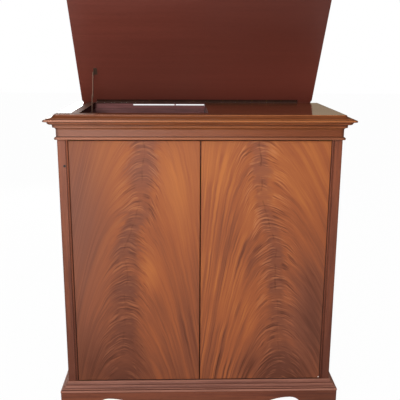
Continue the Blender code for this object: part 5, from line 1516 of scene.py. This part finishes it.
class CABINET_OT_sound(bpy.types.Operator):
    """Finishes the control panel, loudspeaker and amplifier, and stretches the grille cloth"""

    bl_idname = "cabinet.sound"
    bl_label = "Finish Sound Bay"

    def execute(self, context):
        self.panel()
        grain = {"band": 0.018, "gloss": 0.70, "wear": 0.3, "offset": 43.0}
        dress("speaker_baffle", wood("Bare wood baffle", "speaker_baffle", *tones("raw"), "Z", **grain))
        satin = coating("Chassis paint", tint("paint"), tint("paint", 0.5), 0.42, 700.0, 0.0002)
        dress("amplifier_chassis", satin)
        dress("speaker_frame", satin)
        dress("speaker_cone", coating("Cone paper", tint("cone"), tint("cone", 1.8), 0.80, 260.0, 0.0004))
        self.cloth()
        return {"FINISHED"}

    def panel(self):
        """Control panel with its dials, and a screw near each corner of the part that shows."""
        grain = {"band": 0.014, "gloss": 0.36, "wear": 0.5, "offset": 41.0, "finish": self.dials}
        made_of = wood("Mahogany control panel", "control_panel", *tones("case"), "X", **grain)
        dress("control_panel", made_of)
        low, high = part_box("control_panel")
        inset, rise, radius = 0.012, 0.118, 0.0036
        across, up = (low.x + inset, high.x - inset), (low.z + inset, low.z + rise)
        places = np.array([(x, low.y, z) for x in across for z in up])
        head = metal("Panel screw", tint("brass"), tint("hinge"), 0.32, 700.0)
        screws("panel_screws", places, (0.0, -1.0, 0.0), radius, "cabinet", "brass", head)

    @staticmethod
    def dials(shade, place, base):
        """Fine pale ticks round both knobs: eleven to each dial, on a ring outside the knob."""
        step, sweep = math.radians(27.0), math.radians(136.0)
        inner, outer, half_tick = 0.0200, 0.0240, 0.0005
        for name in ("volume_turn", "tone_turn"):
            x, y, z = shade.parts(shade.vector("SUBTRACT", place, tuple(joint_place(name))))
            turn = shade.math("ARCTAN2", x, z)
            away = shade.math("SQRT", shade.scale_add(x, x, shade.times(z, z)))
            nearest = shade.math("SNAP", shade.plus(turn, step / 2), step)
            beside = shade.times(shade.size(shade.less(turn, nearest)), away)
            past, short = shade.math("GREATER_THAN", away, inner), shade.math("LESS_THAN", away, outer)
            ticks = shade.times(shade.math("LESS_THAN", beside, half_tick), shade.times(past, short))
            ticks = shade.times(ticks, shade.math("LESS_THAN", shade.size(turn), sweep))
            base = shade.blend(ticks, base, tint("ivory"))
        return base

    def cloth(self):
        """Grille cloth stretched over the baffle: y = front + 0.4 mm sag over the loudspeaker's mouth."""
        low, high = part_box("grille_cloth")
        across = np.linspace(low.x, high.x, 90)
        up = np.linspace(low.z, high.z, 150)
        x, z = np.meshgrid(across, up, indexing="xy")
        mouth_low, mouth_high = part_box("speaker_cone")
        middle = ((mouth_low.x + mouth_high.x) / 2, (mouth_low.z + mouth_high.z) / 2)
        away = np.hypot(x - middle[0], z - middle[1]) / ((mouth_high.x - mouth_low.x) / 2)
        clear, sag = 0.0002, 0.0004
        points = np.stack([x, low.y + clear + sag * np.exp(-(away**4)), z], -1)
        faces = grid_faces(len(up), len(across))
        made = piece("stretched_cloth", points, faces, "cabinet", "grille_cloth", self.weave(middle))
        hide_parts("grille_cloth")

    @staticmethod
    def weave(middle):
        """Plain weave: warp and weft threads cross over and under every 1.6 mm, with slubs along them."""
        material, shade, surface, place = new_material("Grille cloth")
        x, y, z = shade.parts(place)
        turn = 2.0 * math.pi / 0.0032
        warp = shade.math("SINE", shade.times(x, turn))
        weft = shade.math("SINE", shade.times(z, turn))
        cross = shade.scale_add(shade.times(warp, weft), 0.5, 0.5)
        slubs_up = shade.noise(shade.stretch(place, 420.0, 1.0, 16.0), 1.0, 2.0)
        slubs_over = shade.noise(shade.stretch(place, 16.0, 1.0, 420.0), 1.0, 2.0)
        thread = shade.scale_add(shade.plus(slubs_up, slubs_over), 0.5, shade.times(cross, 0.35))
        ground = shade.blend(shade.smooth(thread, 0.35, 0.90), tint("cloth_dark"), tint("cloth"))
        flat = shade.join(x, 0.0, z)
        away = shade.vector("DISTANCE", flat, (middle[0], 0.0, middle[1]), output=1)
        # Painted shade: the cloth is darker over the loudspeaker's mouth, where the dark space behind shows
        # through.
        mouth = shade.smooth(away, 0.122, 0.130, 0.35, 0.0)
        shade.feed(surface.inputs["Base Color"], shade.blend(mouth, ground, tint("cloth_dark", 0.5)))
        surface.inputs["Roughness"].default_value = 0.85
        surface.inputs["Sheen Weight"].default_value = 0.2
        bump(shade, surface, cross, 0.5, 0.0005)
        return material


class CABINET_OT_back(bpy.types.Operator):
    """Finishes the back panel and sets its screws"""

    bl_idname = "cabinet.back"
    bl_label = "Finish Back"

    def execute(self, context):
        fibre = coating("Fibreboard", tint("fibre"), tint("fibre", 0.55), 0.75, 380.0, 0.0004)
        dress("back_panel", fibre)
        low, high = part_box("back_panel")
        head = metal("Back screw", tint("steel"), tint("hinge"), 0.35, 700.0)
        inset = 0.012
        across = np.linspace(low.x + inset, high.x - inset, 5)
        up = np.linspace(low.z + inset, high.z - inset, 6)
        rows = [(x, z) for z in (up[0], up[-1]) for x in across]
        rows += [(x, z) for x in (across[0], across[-1]) for z in up[1:-1]]
        places = np.array([(x, high.y, z) for x, z in rows])
        radius = sizes().back_screw_radius
        screws("back_screws", places, (0.0, 1.0, 0.0), radius, "cabinet", "steel", head)
        return {"FINISHED"}


def matrix(side, up, back, place):
    """A matrix from three axes and a place."""
    rows = [[float(side[i]), float(up[i]), float(back[i]), float(place[i])] for i in range(3)]
    return Matrix([*rows, [0.0, 0.0, 0.0, 1.0]])


class CABINET_OT_stage(bpy.types.Operator):
    """Sets the floor, the light and the camera"""

    bl_idname = "cabinet.stage"
    bl_label = "Set Stage"

    def execute(self, context):
        scene, stage = context.scene, context.scene.cabinet_stage
        scene.view_settings.view_transform = "Standard"
        self.room(scene, stage)
        self.floor(scene)
        self.lamp("Key light", (-0.5, -3.2, 0.95), (0.0, -0.1, 0.7), 1.8, stage.key_power)
        self.lamp("Top light", (-0.3, -1.3, 2.7), (0.0, -0.1, 0.7), 1.1, stage.top_power)
        self.lamp("Back light", (-0.98, 3.2, 1.25), (0.0, 0.2, 0.6), 1.3, stage.back_power)
        self.lamp("Left light", (-3.3, -0.12, 0.75), (-0.4, 0.0, 0.5), 0.7, stage.side_power)
        self.lamp("Right light", (3.3, -0.12, 0.75), (0.4, 0.0, 0.5), 0.7, stage.side_power)
        self.camera(scene, stage)
        return {"FINISHED"}

    @staticmethod
    def room(scene, stage):
        """White to the camera, even light, and a pale far wall and a dim near wall in the polish."""
        world = bpy.data.worlds.new("Room")
        scene.world = world
        world.use_nodes = True
        shade = Shade(world.node_tree)
        path = world.node_tree.nodes.new("ShaderNodeLightPath")
        background = world.node_tree.nodes["Background"]
        direction = world.node_tree.nodes.new("ShaderNodeTexCoord").outputs["Generated"]
        x, y, z = shade.parts(direction)
        far = shade.smooth(shade.scale_add(z, 0.5, y), -0.25, 0.45)
        mirrored = shade.blend(far, (stage.front_dark,) * 3, tint("wall"))
        room = shade.blend(path.outputs["Is Glossy Ray"], (stage.room_light,) * 3, mirrored)
        clear = shade.larger(path.outputs["Is Camera Ray"], path.outputs["Is Transmission Ray"])
        shade.feed(background.inputs["Color"], shade.blend(clear, room, (1.0, 1.0, 1.0)))
        background.inputs["Strength"].default_value = 1.0

    @staticmethod
    def floor(scene):
        """A plain pale floor that keeps the cabinet's shadow."""
        side, depth = 14.0, -0.0005
        corners = [(-side, -side, depth), (side, -side, depth), (side, side, depth), (-side, side, depth)]
        mesh = bpy.data.meshes.new("studio_floor")
        mesh.from_pydata(corners, [], [(0, 1, 2, 3)])
        made = bpy.data.objects.new("studio_floor", mesh)
        scene.collection.objects.link(made)
        material, shade, surface, place = new_material("Pale floor")
        mesh.materials.append(material)
        tree = material.node_tree
        surface.inputs["Base Color"].default_value = (0.94, 0.94, 0.94, 1.0)
        surface.inputs["Roughness"].default_value = 0.9
        glow = shade.place("ShaderNodeEmission", {"Color": (1.0, 1.0, 1.0), "Strength": 1.0})
        path = tree.nodes.new("ShaderNodeLightPath")
        shown = shade.times(path.outputs["Is Camera Ray"], 0.98)
        mixed = shade.place("ShaderNodeMixShader", {0: shown, 1: surface.outputs[0], 2: glow})
        shade.feed(tree.nodes["Material Output"].inputs["Surface"], mixed)

    @staticmethod
    def lamp(name, place, target, size, watts):
        """A round lamp that faces its target."""
        light = bpy.data.lights.new(name, "AREA")
        light.shape = "DISK"
        light.size = size
        light.energy = watts
        made = bpy.data.objects.new(name, light)
        bpy.context.scene.collection.objects.link(made)
        back = np.array(place) - np.array(target)
        back /= np.linalg.norm(back)
        side = np.cross((0.0, 0.0, 1.0), back)
        side /= np.linalg.norm(side)
        made.matrix_world = matrix(side, np.cross(back, side), back, place)

    @staticmethod
    def camera(scene, stage):
        """The camera from its place, yaw, pitch, roll and lens."""
        data = bpy.data.cameras.new("Camera")
        data.sensor_width = 36.0
        data.lens = stage.camera_lens
        made = bpy.data.objects.new("Camera", data)
        scene.collection.objects.link(made)
        yaw, pitch, roll = stage.camera_yaw, stage.camera_pitch, stage.camera_roll
        heading = np.array([math.sin(yaw), math.cos(yaw), 0.0])
        ahead = math.cos(pitch) * heading - math.sin(pitch) * np.array([0.0, 0.0, 1.0])
        level = np.array([math.cos(yaw), -math.sin(yaw), 0.0])
        above = np.cross(level, ahead)
        side = math.cos(roll) * level + math.sin(roll) * above
        up = -math.sin(roll) * level + math.cos(roll) * above
        made.matrix_world = matrix(side, up, -ahead, stage.camera_place)
        scene.camera = made


OPERATORS = (
    CABINET_OT_stage,
    CABINET_OT_case,
    CABINET_OT_mouldings,
    CABINET_OT_doors,
    CABINET_OT_lid,
    CABINET_OT_hinge,
    CABINET_OT_stay,
    CABINET_OT_turntable,
    CABINET_OT_tonearm,
    CABINET_OT_knobs,
    CABINET_OT_sound,
    CABINET_OT_back,
)


class CABINET_PT_panel(bpy.types.Panel):
    """Lists the steps that dress the cabinet"""

    bl_idname = "CABINET_PT_panel"
    bl_label = "Phonograph Cabinet"
    bl_space_type = "VIEW_3D"
    bl_region_type = "UI"
    bl_category = "Cabinet"

    def draw(self, context):
        for operator in OPERATORS:
            self.layout.operator(operator.bl_idname)
        for name in GROUPS:
            group = getattr(context.scene, name)
            for field in group.__annotations__:
                self.layout.prop(group, field)


GROUPS = {"cabinet_colours": CabinetColours, "cabinet_sizes": CabinetSizes, "cabinet_stage": CabinetStage}


def register():
    for name, group in GROUPS.items():
        bpy.utils.register_class(group)
        setattr(bpy.types.Scene, name, bpy.props.PointerProperty(type=group))
    for operator in OPERATORS:
        bpy.utils.register_class(operator)
    bpy.utils.register_class(CABINET_PT_panel)


def unregister():
    bpy.utils.unregister_class(CABINET_PT_panel)
    for operator in reversed(OPERATORS):
        bpy.utils.unregister_class(operator)
    for name, group in GROUPS.items():
        delattr(bpy.types.Scene, name)
        bpy.utils.unregister_class(group)


def main():
    """Registers the add-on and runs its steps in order."""
    register()
    for operator in OPERATORS:
        family, name = operator.bl_idname.split(".")
        getattr(getattr(bpy.ops, family), name)()


if __name__ == "__main__":
    main()
